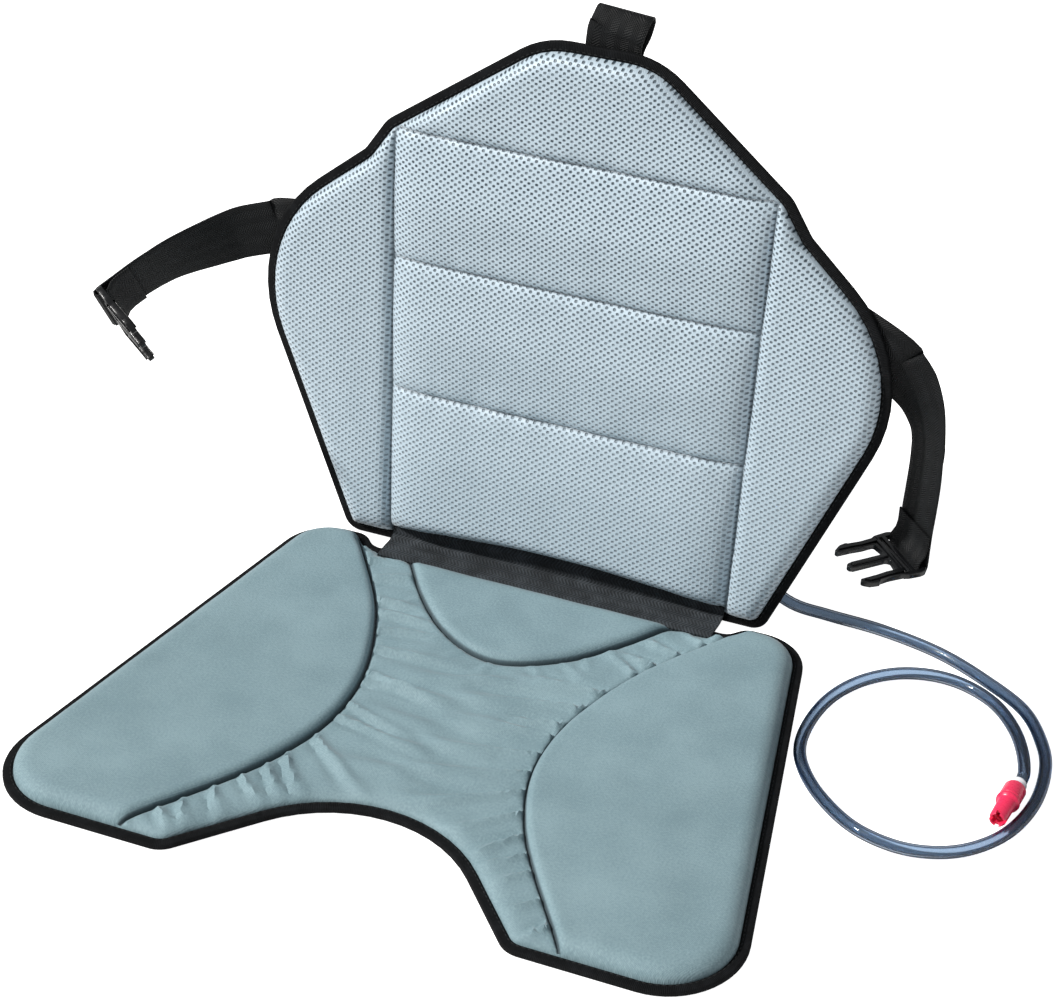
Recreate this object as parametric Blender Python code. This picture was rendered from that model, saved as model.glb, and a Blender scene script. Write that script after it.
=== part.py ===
"""Kayak seat: a padded seat with a sewn-on backrest that stands up, an air cushion for the
lumbar behind the backrest's middle panel, two side straps with the male halves of
side-release buckles, a webbing loop on top, and a clear hose with a push-pull mouth valve.

Metres, +Z up. X runs across the seat and the seat's front is at -Y. The origin is on the
seat's underside. Seat and backrest are both drawn flat, as they are sewn, in plan
coordinates whose second axis starts at the hinge line. An empty then stands the backrest up.
"""

import math

import bmesh
import bpy
from mathutils import Matrix, Vector
from mathutils.geometry import delaunay_2d_cdt

# Cloth, binding and gaps
GAP = 0.0003
CLOTH = 0.0008
BINDING_WALL = 0.0009
BINDING_LIP = 0.0070
RIM_CLOTHS = 2 * CLOTH + GAP
BINDING_HEIGHT = 2 * BINDING_WALL + 2 * GAP + RIM_CLOTHS
REAR_RIM = BINDING_WALL + GAP
FRONT_RIM = REAR_RIM + RIM_CLOTHS
EDGE_SLOPE = 0.0125
SEAM_SLOPE = 0.0085
OUTLINE_STEP = 0.026
ARC_STEP = math.radians(15)

# Seat, from the hinge line forwards
HINGE_Y = 0.150
SEAT_DEPTH = 0.345
SEAT_FRONT_HALF = 0.2608
SEAT_REAR_HALF = 0.1850
FRONT_CORNER_R = 0.050
REAR_CORNER_R = 0.035
NOTCH_DEPTH = 0.082
NOTCH_MOUTH_HALF = 0.116
NOTCH_FLOOR_HALF = 0.040
NOTCH_MOUTH_R = 0.030
NOTCH_FLOOR_R = 0.030
LOBE_REACH = 0.005
HINGE_SET = 0.006
LOBE_R = 0.012
PAD_HEIGHT = 0.0145
CENTRE_HEIGHT = 0.0095
VALLEY_HEIGHT = 0.0072
BOARD_TOP = 0.0057
BOARD_INSET = 0.0165
PAD_RIM = 0.0012
PAD_SLACK = CLOTH + 0.0009
FOLD_HEIGHT = 0.0018
FOLD_WIDTH = 0.0065

# Backrest, from the hinge line upwards
BACK_LEAN = math.radians(8.3)
BACK_SET = 0.0163
BACK_FOOT = 0.0015
BACK_HEIGHT = 0.384
BACK_FOOT_HALF = 0.1546
BACK_FOOT_R = 0.012
WING_HALF = 0.2443
WING_RISE = 0.2085
WING_R = 0.100
NECK_HALF = 0.156
NECK_RISE = 0.285
NECK_R_IN = 0.015
SHOULDER_HALF = 0.141
SHOULDER_RISE = 0.308
SHOULDER_R = 0.020
CROWN_HALF = 0.0455
CROWN_R = 0.060
SEAM_FOOT_HALF = 0.125
SEAM_TOP_HALF = 0.134
WING_DEPTH = 0.0135
CROWN_DEPTH = 0.0150
STIFFENER = 0.0024
CHANNEL_RISES = (0.121, 0.217, 0.307)
CHANNEL_SEAM_DEPTH = 0.0150
CHANNEL_PUFF = 0.0085
CROWN_SEAM_DEPTH = 0.0105
SEAM_VALLEY = 0.0062
BLADDER_DEPTH = 0.0034
HINGE_HALF_WIDTH = 0.124
HINGE_TOP_END = 0.010
HINGE_TOP_MIDDLE = 0.0185
HINGE_LAP = 0.0095
HINGE_RIM = HINGE_LAP + 0.0010
WEBBING = 0.0016

# Side straps, loop and buckles
STRAP_WIDTH = 0.038
STRAP_RISE = 0.218
STRAP_INNER = 0.150
STRAP_SEWN = 0.062
LOOP_OFFSET = 0.010
LOOP_STAND = 0.024
LOOP_SEWN = 0.040
BUCKLE_WIDTH = 0.048
BUCKLE_BASE = 0.0165
BUCKLE_THICKNESS = 0.0042
BUCKLE_BAR = 0.0034
BUCKLE_SLOT = 0.0048
WRAP = BUCKLE_BAR / 2 + 0.0008 + WEBBING / 2
PRONG_LENGTH = 0.030
PRONG_WIDTH = 0.0048
GUIDE_WIDTH = 0.0062

# Air hose and mouth valve
HOSE_R = 0.0042
GLAND_RISE = 0.032
GLAND_SIDE = 0.112
GLAND_R = 0.011
VALVE_AXIS_Z = 0.0084
VALVE_SHIFT = 0.004
COLLAR_R = 0.0074
COLLAR_LENGTH = 0.0165
NOZZLE_R = 0.0059
NOZZLE_LENGTH = 0.0195
NECK_R = 0.0050
NECK_LENGTH = 0.0135
NECK_SHOWN = 0.0065
MOUTH_BORE_R = 0.0022
MOUTH_R = 0.0040
MOUTH_DEPTH = 0.0055
NECK_CLEARANCE = 0.0001

GREY_CLOTH = (0.26, 0.31, 0.31)
SILVER_MESH = (0.55, 0.60, 0.64)
BLACK_CLOTH = (0.012, 0.013, 0.014)
FOAM = (0.22, 0.23, 0.24)


def clear_scene():
    for obj in list(bpy.data.objects):
        bpy.data.objects.remove(obj, do_unlink=True)


def material(name, colour, roughness, metallic=0.0):
    found = bpy.data.materials.new(name)
    found.use_nodes = True
    shader = found.node_tree.nodes["Principled BSDF"]
    shader.inputs["Base Color"].default_value = (*colour, 1.0)
    shader.inputs["Roughness"].default_value = roughness
    shader.inputs["Metallic"].default_value = metallic
    return found


def add_object(name, mesh_or_curve, colour, roughness, parent=None):
    obj = bpy.data.objects.new(name, mesh_or_curve)
    obj.data.materials.append(material(name, colour, roughness))
    PARTS.objects.link(obj)
    obj.parent = parent
    return obj


def mesh_from(name, points, faces):
    """A mesh from points and faces, with its normals turned outwards."""
    mesh = bpy.data.meshes.new(name)
    mesh.from_pydata([tuple(p) for p in points], [], faces)
    made = bmesh.new()
    made.from_mesh(mesh)
    bmesh.ops.recalc_face_normals(made, faces=made.faces)
    made.to_mesh(mesh)
    made.free()
    mesh.shade_smooth()
    mesh.set_sharp_from_angle(angle=math.radians(40))
    return mesh


def smooth(t):
    t = min(max(t, 0.0), 1.0)
    return t * t * (3 - 2 * t)


def smooth_line(points, step):
    """Points about a step apart on a Catmull-Rom curve through the given ones."""
    knots = [2 * points[0] - points[1], *points, 2 * points[-1] - points[-2]]
    line = [points[0]]
    for a, b, c, d in zip(knots, knots[1:], knots[2:], knots[3:]):
        count = max(1, round((c - b).length / step))
        for i in range(1, count + 1):
            t = i / count
            line.append(
                0.5
                * (
                    2 * b
                    + (c - a) * t
                    + (2 * a - 5 * b + 4 * c - d) * t**2
                    + (3 * b - a - 3 * c + d) * t**3
                )
            )
    return line


def corner_arc(before, corner, after, radius):
    """The points of a fillet at one corner of an outline."""
    to_before = (before - corner).normalized()
    to_after = (after - corner).normalized()
    half = to_before.angle(to_after) / 2
    centre = corner + (to_before + to_after).normalized() * radius / math.sin(half)
    start = corner + to_before * radius / math.tan(half) - centre
    end = corner + to_after * radius / math.tan(half) - centre
    turn = math.atan2(start.x * end.y - start.y * end.x, start.dot(end))
    count = max(1, round(abs(turn) / ARC_STEP))
    arc = []
    for i in range(count + 1):
        angle = turn * i / count
        arc.append(
            centre
            + Vector(
                (
                    start.x * math.cos(angle) - start.y * math.sin(angle),
                    start.x * math.sin(angle) + start.y * math.cos(angle),
                )
            )
        )
    return arc


def outline_of(corners):
    """A closed outline: corners are (x, y, radius), and long edges are divided."""
    points = [Vector(c[:2]) for c in corners]
    rounded = []
    for i, (_, _, radius) in enumerate(corners):
        if radius:
            rounded += corner_arc(
                points[i - 1], points[i], points[(i + 1) % len(points)], radius
            )
        else:
            rounded.append(points[i])
    outline = []
    for a, b in zip(rounded, rounded[1:] + rounded[:1]):
        count = max(1, math.ceil((b - a).length / OUTLINE_STEP - 0.01))
        outline += [a.lerp(b, i / count) for i in range(count)]
    return outline


def mirrored(half):
    """Both halves of a symmetric list of corners whose first half is at +X."""
    return half + [(-x, y, r) for x, y, r in reversed(half)]


def inset(outline, distance):
    """An outline moved inwards; the outline runs anticlockwise."""
    moved = []
    count = len(outline)
    for i, point in enumerate(outline):
        before = (point - outline[i - 1]).normalized()
        after = (outline[(i + 1) % count] - point).normalized()
        normal = Vector((-before.y - after.y, before.x + after.x)).normalized()
        across = Vector((-before.y, before.x))
        moved.append(point + normal * distance / max(normal.dot(across), 0.5))
    return moved


def shrunk(outline, distance):
    """An inset outline without the points that cross over at its tight corners."""
    return [
        p
        for p in inset(outline, distance)
        if distance_to(p, outline, True) > distance - 0.0004 and inside(p, outline)
    ]


def anticlockwise(outline):
    area = sum(
        a.x * b.y - b.x * a.y for a, b in zip(outline, outline[1:] + outline[:1])
    )
    return outline if area > 0 else outline[::-1]


def distance_to(point, line, closed=False):
    """The least distance from a plan point to a line of plan points."""
    least = 1.0
    for a, b in zip(line, line[1:] + (line[:1] if closed else [])):
        along = b - a
        t = min(max((point - a).dot(along) / along.length_squared, 0.0), 1.0)
        least = min(least, (point - a - along * t).length)
    return least


def inside(point, outline):
    crossings = 0
    for a, b in zip(outline, outline[1:] + outline[:1]):
        if (a.y > point.y) != (b.y > point.y):
            crossings += point.x < a.x + (point.y - a.y) / (b.y - a.y) * (b.x - a.x)
    return crossings % 2 == 1


def beside(line, distance):
    """A line at a distance to the left of another."""
    moved = []
    for i, point in enumerate(line):
        along = line[min(i + 1, len(line) - 1)] - line[max(i - 1, 0)]
        moved.append(point + Vector((-along.y, along.x)).normalized() * distance)
    return moved


def plan_of(outline, insets, lines, step, clearance=0.006):
    """Triangles over an outline that keep its inset rings and the given lines as edges."""
    points = list(outline)
    edges = []

    def add_chain(chain, closed):
        first = len(points)
        points.extend(chain)
        for i in range(len(chain) - (not closed)):
            edges.append((first + i, first + (i + 1) % len(chain)))

    for distance in insets:
        add_chain(shrunk(outline, distance), True)
    kept = []
    for line in lines:
        run = [
            p
            for p in line
            if clearance is None
            or (inside(p, outline) and distance_to(p, outline, True) > clearance)
        ]
        if len(run) > 1:
            add_chain(run, False)
            kept.append(run)
    innermost = insets[-1] if insets else 0
    xs = [p.x for p in outline]
    ys = [p.y for p in outline]
    for row in range(int((max(ys) - min(ys)) / step) + 1):
        for column in range(int((max(xs) - min(xs)) / step) + 2):
            point = Vector(
                (
                    min(xs) + (column - 0.5 * (row % 2)) * step,
                    min(ys) + row * step,
                )
            )
            if not inside(point, outline):
                continue
            if distance_to(point, outline, True) < innermost + 0.4 * step:
                continue
            if all(distance_to(point, run) > 0.5 * step for run in kept):
                points.append(point)
    found, _, triangles, _, _, _ = delaunay_2d_cdt(
        points, edges, [list(range(len(outline)))], 1, 1e-5, False
    )
    return part_of_plan((found, triangles), lambda p: inside(p, outline))


def part_of_plan(plan, keep):
    """The triangles whose middles are kept, with their own points only."""
    found, triangles = plan
    triangles = [t for t in triangles if keep(sum((found[i] for i in t), Vector((0, 0))) / 3)]
    used = sorted({i for t in triangles for i in t})
    place = {i: k for k, i in enumerate(used)}
    return [found[i] for i in used], [tuple(place[i] for i in t) for t in triangles]


def sheet_mesh(name, plan, top, bottom):
    """A closed sheet over a plan, between two heights given as functions of the plan."""
    found, triangles = plan
    count = len(found)
    points = [(p.x, p.y, top(p)) for p in found]
    points += [(p.x, p.y, bottom(p)) for p in found]
    faces = list(triangles)
    faces += [tuple(count + i for i in reversed(t)) for t in triangles]
    sides = dict.fromkeys((a, b) for t in triangles for a, b in zip(t, (*t[1:], t[0])))
    faces += [(b, a, count + a, count + b) for a, b in sides if (b, a) not in sides]
    return mesh_from(name, points, faces)


def pad_mesh(name, loop, foot, surface, ramp, step, lines=()):
    """A foam pad on a flat foot, whose top stays a little under a cloth's surface."""
    loop = anticlockwise(loop)
    plan = plan_of(loop, (ramp,), lines, step, 0.004)

    def top(point):
        full = max(surface(point) - PAD_SLACK - foot - PAD_RIM, 0.0)
        return foot + PAD_RIM + full * smooth(distance_to(point, loop, True) / ramp)

    return sheet_mesh(name, plan, top, lambda p: foot)


def ring_mesh(name, outline, profile):
    """A closed ring along an outline; the profile is (distance inwards, height)."""
    rails = [inset(outline, reach) for reach, _ in profile]
    count = len(outline)
    points = [(*rail[i], height) for rail, (_, height) in zip(rails, profile) for i in range(count)]
    faces = []
    for rail in range(len(profile)):
        following = (rail + 1) % len(profile)
        for i in range(count):
            j = (i + 1) % count
            faces.append(
                (
                    rail * count + i,
                    rail * count + j,
                    following * count + j,
                    following * count + i,
                )
            )
    return mesh_from(name, points, faces)


def slab_mesh(name, rings):
    """A closed slab from plan rings of equal length, each with its height, bottom to top."""
    count = len(rings[0][0])
    points = [(*p, height) for ring, height in rings for p in ring]
    faces = [tuple(reversed(range(count)))]
    for level in range(len(rings) - 1):
        for i in range(count):
            j = (i + 1) % count
            faces.append(
                (
                    level * count + i,
                    level * count + j,
                    (level + 1) * count + j,
                    (level + 1) * count + i,
                )
            )
    faces.append(tuple((len(rings) - 1) * count + i for i in range(count)))
    return mesh_from(name, points, faces)


def ribbon_mesh(name, stations, width, thickness):
    """A strip of webbing through stations of (centre, direction across the width)."""
    count = len(stations)
    points = []
    for i, (centre, across) in enumerate(stations):
        along = stations[min(i + 1, count - 1)][0] - stations[max(i - 1, 0)][0]
        normal = along.cross(across).normalized()
        side = normal.cross(along).normalized() * width / 2
        lift = normal * thickness / 2
        points += [centre + side + lift, centre - side + lift, centre - side - lift, centre + side - lift]
    faces = [(3, 2, 1, 0), tuple(4 * (count - 1) + k for k in range(4))]
    for i in range(count - 1):
        for k in range(4):
            a, b = 4 * i + k, 4 * i + (k + 1) % 4
            faces.append((a, b, b + 4, a + 4))
    return mesh_from(name, points, faces)


def turned_mesh(name, profile, steps, matrix):
    """A closed turned solid: the profile is (radius, place along the axis)."""
    count = len(profile)
    points = []
    for i in range(steps):
        angle = 2 * math.pi * i / steps
        for radius, along in profile:
            points.append(matrix @ Vector((radius * math.cos(angle), radius * math.sin(angle), along)))
    faces = []
    for i in range(steps):
        j = (i + 1) % steps
        for k in range(count):
            following = (k + 1) % count
            faces.append((i * count + k, j * count + k, j * count + following, i * count + following))
    mesh = mesh_from(name, points, faces)
    made = bmesh.new()
    made.from_mesh(mesh)
    bmesh.ops.remove_doubles(made, verts=made.verts, dist=1e-6)
    bmesh.ops.dissolve_degenerate(made, edges=made.edges, dist=1e-6)
    bmesh.ops.recalc_face_normals(made, faces=made.faces)
    made.to_mesh(mesh)
    made.free()
    return mesh


def binding_profile():
    """The folded tape: an outer web and two lips that grip the cloths' rims."""
    top = BINDING_HEIGHT
    outer = -BINDING_WALL - GAP
    fold = 0.0012
    return [
        (outer, fold),
        (outer + fold, 0.0),
        (BINDING_LIP, 0.0),
        (BINDING_LIP, BINDING_WALL),
        (-GAP, BINDING_WALL),
        (-GAP, top - BINDING_WALL),
        (BINDING_LIP, top - BINDING_WALL),
        (BINDING_LIP, top),
        (outer + fold, top),
        (outer, top - fold),
    ]


def under_cover_mesh(name, outline):
    """The underside cloth: flat, with a rim that steps up into the binding."""
    step_in = BINDING_LIP + 0.0006
    step_out = step_in + 0.0020
    plan = plan_of(outline, (step_in, step_out), [], 1.0)

    def bottom(point):
        reach = distance_to(point, outline, True)
        return REAR_RIM * (1 - smooth((reach - step_in) / (step_out - step_in)))

    return sheet_mesh(name, plan, lambda p: bottom(p) + CLOTH, bottom)


def seat_outline():
    half = [
        (NOTCH_FLOOR_HALF, -SEAT_DEPTH + NOTCH_DEPTH, NOTCH_FLOOR_R),
        (NOTCH_MOUTH_HALF, -SEAT_DEPTH, NOTCH_MOUTH_R),
        (SEAT_FRONT_HALF, -SEAT_DEPTH, FRONT_CORNER_R),
        (SEAT_REAR_HALF, LOBE_REACH, REAR_CORNER_R),
        (HINGE_HALF_WIDTH + 0.019, LOBE_REACH, LOBE_R),
        (HINGE_HALF_WIDTH + 0.009, -HINGE_SET, LOBE_R),
    ]
    return anticlockwise(outline_of(mirrored(half)))


def thigh_seam(side):
    """The groove between a thigh pad and the middle, rear to front."""
    knots = ((0.144, -0.004), (0.092, -0.085), (0.069, -0.170), (0.087, -0.247), (0.150, -0.342))
    line = smooth_line([Vector((side * x, y)) for x, y in knots], 0.018)
    return line


def tail_seam():
    knots = ((-0.106, -0.004), (-0.075, -0.050), (-0.040, -0.085), (0.0, -0.101))
    left = smooth_line([Vector(k) for k in knots], 0.018)
    return left + [Vector((-p.x, p.y)) for p in reversed(left[:-1])]


def fold_lines():
    """Creases that fan out from the thigh grooves across the middle of the seat."""
    half = (
        ((0.092, -0.062), (0.071, -0.070), (0.052, -0.088)),
        ((0.079, -0.104), (0.058, -0.108), (0.036, -0.120)),
        ((0.066, -0.139), (0.044, -0.141), (0.020, -0.150)),
        ((0.060, -0.172), (0.040, -0.176), (0.016, -0.172)),
        ((0.064, -0.205), (0.044, -0.216), (0.024, -0.226)),
        ((0.082, -0.252), (0.071, -0.262), (0.062, -0.270)),
    )
    return [[Vector((side * x, y)) for x, y in line] for side in (1, -1) for line in half]


def seat_relief(outline):
    """The height of the seat's top cloth as a function of a plan point."""
    thighs = [thigh_seam(1), thigh_seam(-1)]
    tail = tail_seam()
    folds = fold_lines()

    def height(point):
        at_hinge = abs(point.x) < HINGE_HALF_WIDTH + 0.002 and point.y > -0.05
        rim = HINGE_RIM if at_hinge else BINDING_LIP
        edge = smooth((distance_to(point, outline, True) - rim) / EDGE_SLOPE)
        to_thigh = min(distance_to(point, line) for line in thighs)
        to_tail = distance_to(point, tail)
        nearest = min(to_thigh, to_tail)
        if on_thigh_pad(point) or on_tail_pad(point):
            level = PAD_HEIGHT
        else:
            level = CENTRE_HEIGHT
            fold = min(distance_to(point, line) for line in folds)
            level += FOLD_HEIGHT * math.exp(-((fold / FOLD_WIDTH) ** 2))
        level = VALLEY_HEIGHT + (level - VALLEY_HEIGHT) * smooth(nearest / SEAM_SLOPE)
        return FRONT_RIM + (level - FRONT_RIM) * edge

    return height


def on_thigh_pad(point):
    line = thigh_seam(1)
    probe = Vector((abs(point.x), point.y))
    for a, b in zip(line, line[1:]):
        if b.y <= probe.y <= a.y:
            return probe.x > a.x + (b.x - a.x) * (probe.y - a.y) / (b.y - a.y)
    return probe.x > 0.12


def on_tail_pad(point):
    return inside(point, tail_seam())


def build_seat():
    outline = seat_outline()
    height = seat_relief(outline)
    seams = [thigh_seam(1), thigh_seam(-1)]
    lines = [*seams, tail_seam()]
    for side, seam in zip((1, -1), seams):
        lines.append(beside(seam, side * 0.004))
        lines.append(beside(seam, side * SEAM_SLOPE))
        lines.append(beside(seam, -side * 0.007))
    lines.append(beside(tail_seam(), 0.004))
    lines.append(beside(tail_seam(), SEAM_SLOPE))
    lines.append(beside(tail_seam(), -0.007))
    hinge = [Vector((k * 0.0155, -HINGE_SET - HINGE_RIM)) for k in range(-8, 9)]
    lines += [hinge, *fold_lines()]
    plan = plan_of(outline, (BINDING_LIP, 0.0125, 0.0195), lines, 0.019)
    base = bpy.data.objects.new("seat_plane", None)
    base.location = (0, HINGE_Y, 0)
    PARTS.objects.link(base)

    under = under_cover_mesh("seat_base_cover", outline)
    add_object("seat_base_cover", under, BLACK_CLOTH, 0.7, base)

    rear = -HINGE_SET - HINGE_RIM - EDGE_SLOPE
    board = [Vector((p.x, min(p.y, rear))) for p in shrunk(outline, BOARD_INSET)]
    sheet = slab_mesh("seat_foam_board", ((board, CLOTH + GAP), (board, BOARD_TOP)))
    add_object("seat_foam_board", sheet, FOAM, 0.9, base)

    for name, loop in seat_pad_loops(outline):
        mesh = pad_mesh(name, loop, BOARD_TOP + GAP, height, 0.0060, 0.030)
        add_object(name, mesh, FOAM, 0.9, base)

    cover = sheet_mesh("seat_top_cover", plan, height, lambda p: height(p) - CLOTH)
    add_object("seat_top_cover", cover, GREY_CLOTH, 0.55, base)

    ring = ring_mesh("seat_binding", outline, binding_profile())
    add_object("seat_binding", ring, BLACK_CLOTH, 0.75, base)


def seat_pad_loops(outline):
    """The three foam pads: both thighs and the tail."""
    loops = []
    for side, name in ((-1, "seat_left_thigh_pad"), (1, "seat_right_thigh_pad")):
        seam = [p for p in thigh_seam(side) if distance_to(p, outline, True) > 0.021]
        edge = [p for p in inset(outline, 0.0175) if p.x * side > 0 and on_thigh_pad(p)]
        edge = [p for p in edge if distance_to(p, thigh_seam(side)) > 0.012]
        edge.sort(key=lambda p: math.atan2(p.y + 0.17, side * p.x - 0.15))
        seam = beside(seam, side * 0.0055)
        loops.append((name, anticlockwise(seam + edge)))
    tail = [p for p in beside(tail_seam(), 0.0055) if p.y < -HINGE_SET - 0.025]
    loops.append(("seat_tail_pad", anticlockwise(tail)))
    return loops


def back_outline():
    half = [
        (BACK_FOOT_HALF, 0.0, BACK_FOOT_R),
        (WING_HALF, WING_RISE, WING_R),
        (NECK_HALF, NECK_RISE, NECK_R_IN),
        (SHOULDER_HALF, SHOULDER_RISE, SHOULDER_R),
        (CROWN_HALF, BACK_HEIGHT, CROWN_R),
    ]
    return anticlockwise(outline_of(mirrored(half)))


def seam_half(rise):
    """Half the width between the two upright seams at a height on the backrest."""
    return SEAM_FOOT_HALF + (SEAM_TOP_HALF - SEAM_FOOT_HALF) * rise / SHOULDER_RISE


def seam_line(side, shift, low=-0.02, high=0.35):
    rows = max(1, round((high - low) / 0.024))
    rises = [low + (high - low) * k / rows for k in range(rows + 1)]
    return [Vector((side * (seam_half(rise) + shift), rise)) for rise in rises]


def hinge_top(x):
    """The upper edge of the hinge webbing on the backrest, highest in the middle."""
    return HINGE_TOP_END + (HINGE_TOP_MIDDLE - HINGE_TOP_END) * (1 - (x / HINGE_HALF_WIDTH) ** 2)


def back_relief(outline):
    """How far the backrest's front cloth stands from the rear one at a plan point."""

    def depth(point):
        across = abs(point.x) / seam_half(point.y)
        edge = smooth((distance_to(point, outline, True) - BINDING_LIP) / EDGE_SLOPE)
        if across < 1:
            foot = (point.y - hinge_top(point.x)) / EDGE_SLOPE
            edge = min(edge if point.y > 0.03 else 1.0, smooth(foot))
            level = centre_level(point.y, across)
        else:
            gap = abs(point.x) - seam_half(point.y)
            level = SEAM_VALLEY + (WING_DEPTH - SEAM_VALLEY) * smooth(gap / 0.011)
        return FRONT_RIM + (level - FRONT_RIM) * edge

    return depth


def centre_level(rise, across):
    """The puffed channels and the crown, between the upright seams."""
    rises = (0.0, *CHANNEL_RISES)
    if rise > CHANNEL_RISES[-1]:
        seam_level = CROWN_SEAM_DEPTH
        puff = (CROWN_DEPTH - CROWN_SEAM_DEPTH) * smooth((rise - CHANNEL_RISES[-1]) / 0.020)
    else:
        band = max(i for i in range(len(rises) - 1) if rise >= rises[i])
        t = (rise - rises[band]) / (rises[band + 1] - rises[band])
        puff = CHANNEL_PUFF * (1 - abs(2 * t - 1) ** 2.6) ** 0.8
        seam_level = CHANNEL_SEAM_DEPTH
        if band == len(rises) - 2:
            seam_level += (CROWN_SEAM_DEPTH - CHANNEL_SEAM_DEPTH) * smooth((t - 0.35) / 0.65)
    side = (1 - across**5) ** 0.75 if across < 1 else 0.0
    side += (1 - side) * smooth((rise - CHANNEL_RISES[-1]) / 0.020)
    return SEAM_VALLEY + (seam_level + puff - SEAM_VALLEY) * side


def panel_lines():
    lines = []
    for seam in CHANNEL_RISES:
        for shift in (-0.011, -0.0045, 0.0, 0.0045, 0.011):
            half = seam_half(seam) - 0.006
            lines.append([Vector((half * k / 8, seam + shift)) for k in range(-8, 9)])
    return lines


def build_backrest():
    outline = back_outline()
    depth = back_relief(outline)
    upright = bpy.data.objects.new("backrest_plane", None)
    upright.location = (0, HINGE_Y + BACK_SET, BACK_FOOT)
    upright.rotation_euler = (math.pi / 2 - BACK_LEAN, 0, 0)
    PARTS.objects.link(upright)

    rear = under_cover_mesh("back_rear_cover", outline)
    add_object("back_rear_cover", rear, BLACK_CLOTH, 0.7, upright)

    low = CLOTH + GAP
    foot = HINGE_TOP_MIDDLE + 0.009
    board = [Vector((p.x, max(p.y, foot))) for p in shrunk(outline, 0.0150)]
    sheet = slab_mesh("back_stiffener", ((board, low), (board, low + STIFFENER)))
    add_object("back_stiffener", sheet, (0.03, 0.03, 0.03), 0.5, upright)

    low += STIFFENER + GAP
    rim = shrunk(outline, 0.0165)
    for side, name in ((-1, "back_left_wing_foam"), (1, "back_right_wing_foam")):
        seam = seam_line(side, 0.0055, 0.030, 0.278)
        loop = [p for p in rim if side * p.x > seam_half(p.y) + 0.008 and 0.030 < p.y < 0.278]
        loop.sort(key=lambda p: -p.y)
        add_object(name, pad_mesh(name, seam + loop, low, depth, 0.0080, 0.030), FOAM, 0.9, upright)

    foot = CHANNEL_RISES[-1] + 0.009
    half = seam_half(foot) - 0.030
    loop = [p for p in rim if p.y > foot + 0.004 and abs(p.x) < half]
    loop.sort(key=lambda p: -p.x)
    loop = [Vector((half, foot)), *loop, Vector((-half, foot))]
    mesh = pad_mesh("back_crown_foam", loop, low, depth, 0.0080, 0.030)
    add_object("back_crown_foam", mesh, FOAM, 0.9, upright)

    build_cushion(upright, depth, low)
    build_front_panels(upright, outline, depth)

    ring = ring_mesh("back_binding", outline, binding_profile())
    add_object("back_binding", ring, BLACK_CLOTH, 0.75, upright)
    return upright


def cushion_loop(margin):
    low = HINGE_TOP_MIDDLE + EDGE_SLOPE + margin
    high = CHANNEL_RISES[-1] - 0.004 - margin
    feet = seam_half(low) - 0.013 - margin
    top = seam_half(high) - 0.013 - margin
    corners = ((-feet, low, 0.012), (feet, low, 0.012), (top, high, 0.012), (-top, high, 0.012))
    return outline_of(corners)


def build_cushion(upright, depth, foot):
    """The flat air cushion and the quilted foam between it and the middle panel."""
    ceiling = foot + BLADDER_DEPTH
    mesh = pad_mesh(
        "lumbar_bladder", cushion_loop(0.004), foot, lambda p: ceiling + PAD_SLACK, 0.009, 0.045
    )
    add_object("lumbar_bladder", mesh, (0.45, 0.47, 0.50), 0.4, upright)
    surface = lambda p: depth(p) - 0.0012
    mesh = pad_mesh(
        "back_quilt_foam", cushion_loop(0.0), ceiling + GAP, surface, 0.0060, 0.024, panel_lines()
    )
    add_object("back_quilt_foam", mesh, FOAM, 0.9, upright)


def build_front_panels(upright, outline, depth):
    """The two wings and the middle panel of mesh cloth, cut apart along the upright seams."""
    lines = panel_lines()
    for shift in (0.0, EDGE_SLOPE):
        lines.append([Vector((k * 0.0155, hinge_top(k * 0.0155) + shift)) for k in range(-8, 9)])
    for side in (-1, 1):
        for shift in (-GAP, GAP):
            lines.append(seam_line(side, shift))
        for shift in (-0.0125, -0.0045, 0.0050, 0.0110):
            lines.append(seam_line(side, shift, 0.034, 0.300))
    plan = plan_of(outline, (BINDING_LIP, 0.0125, 0.0195), lines, 0.020, None)

    def panel(name, keep):
        mesh = sheet_mesh(name, part_of_plan(plan, keep), depth, lambda p: depth(p) - CLOTH)
        add_object(name, mesh, SILVER_MESH, 0.6, upright)

    panel("back_left_wing_panel", lambda p: -p.x > seam_half(p.y) + GAP)
    panel("back_right_wing_panel", lambda p: p.x > seam_half(p.y) + GAP)
    panel("back_centre_panel", lambda p: abs(p.x) < seam_half(p.y) - GAP)


def on_backrest(x, rise, depth):
    """The world place of a point given across, up and forwards on the standing backrest."""
    lean = math.pi / 2 - BACK_LEAN
    y = HINGE_Y + BACK_SET + rise * math.cos(lean) - depth * math.sin(lean)
    z = BACK_FOOT + rise * math.sin(lean) + depth * math.cos(lean)
    return Vector((x, y, z))


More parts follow.
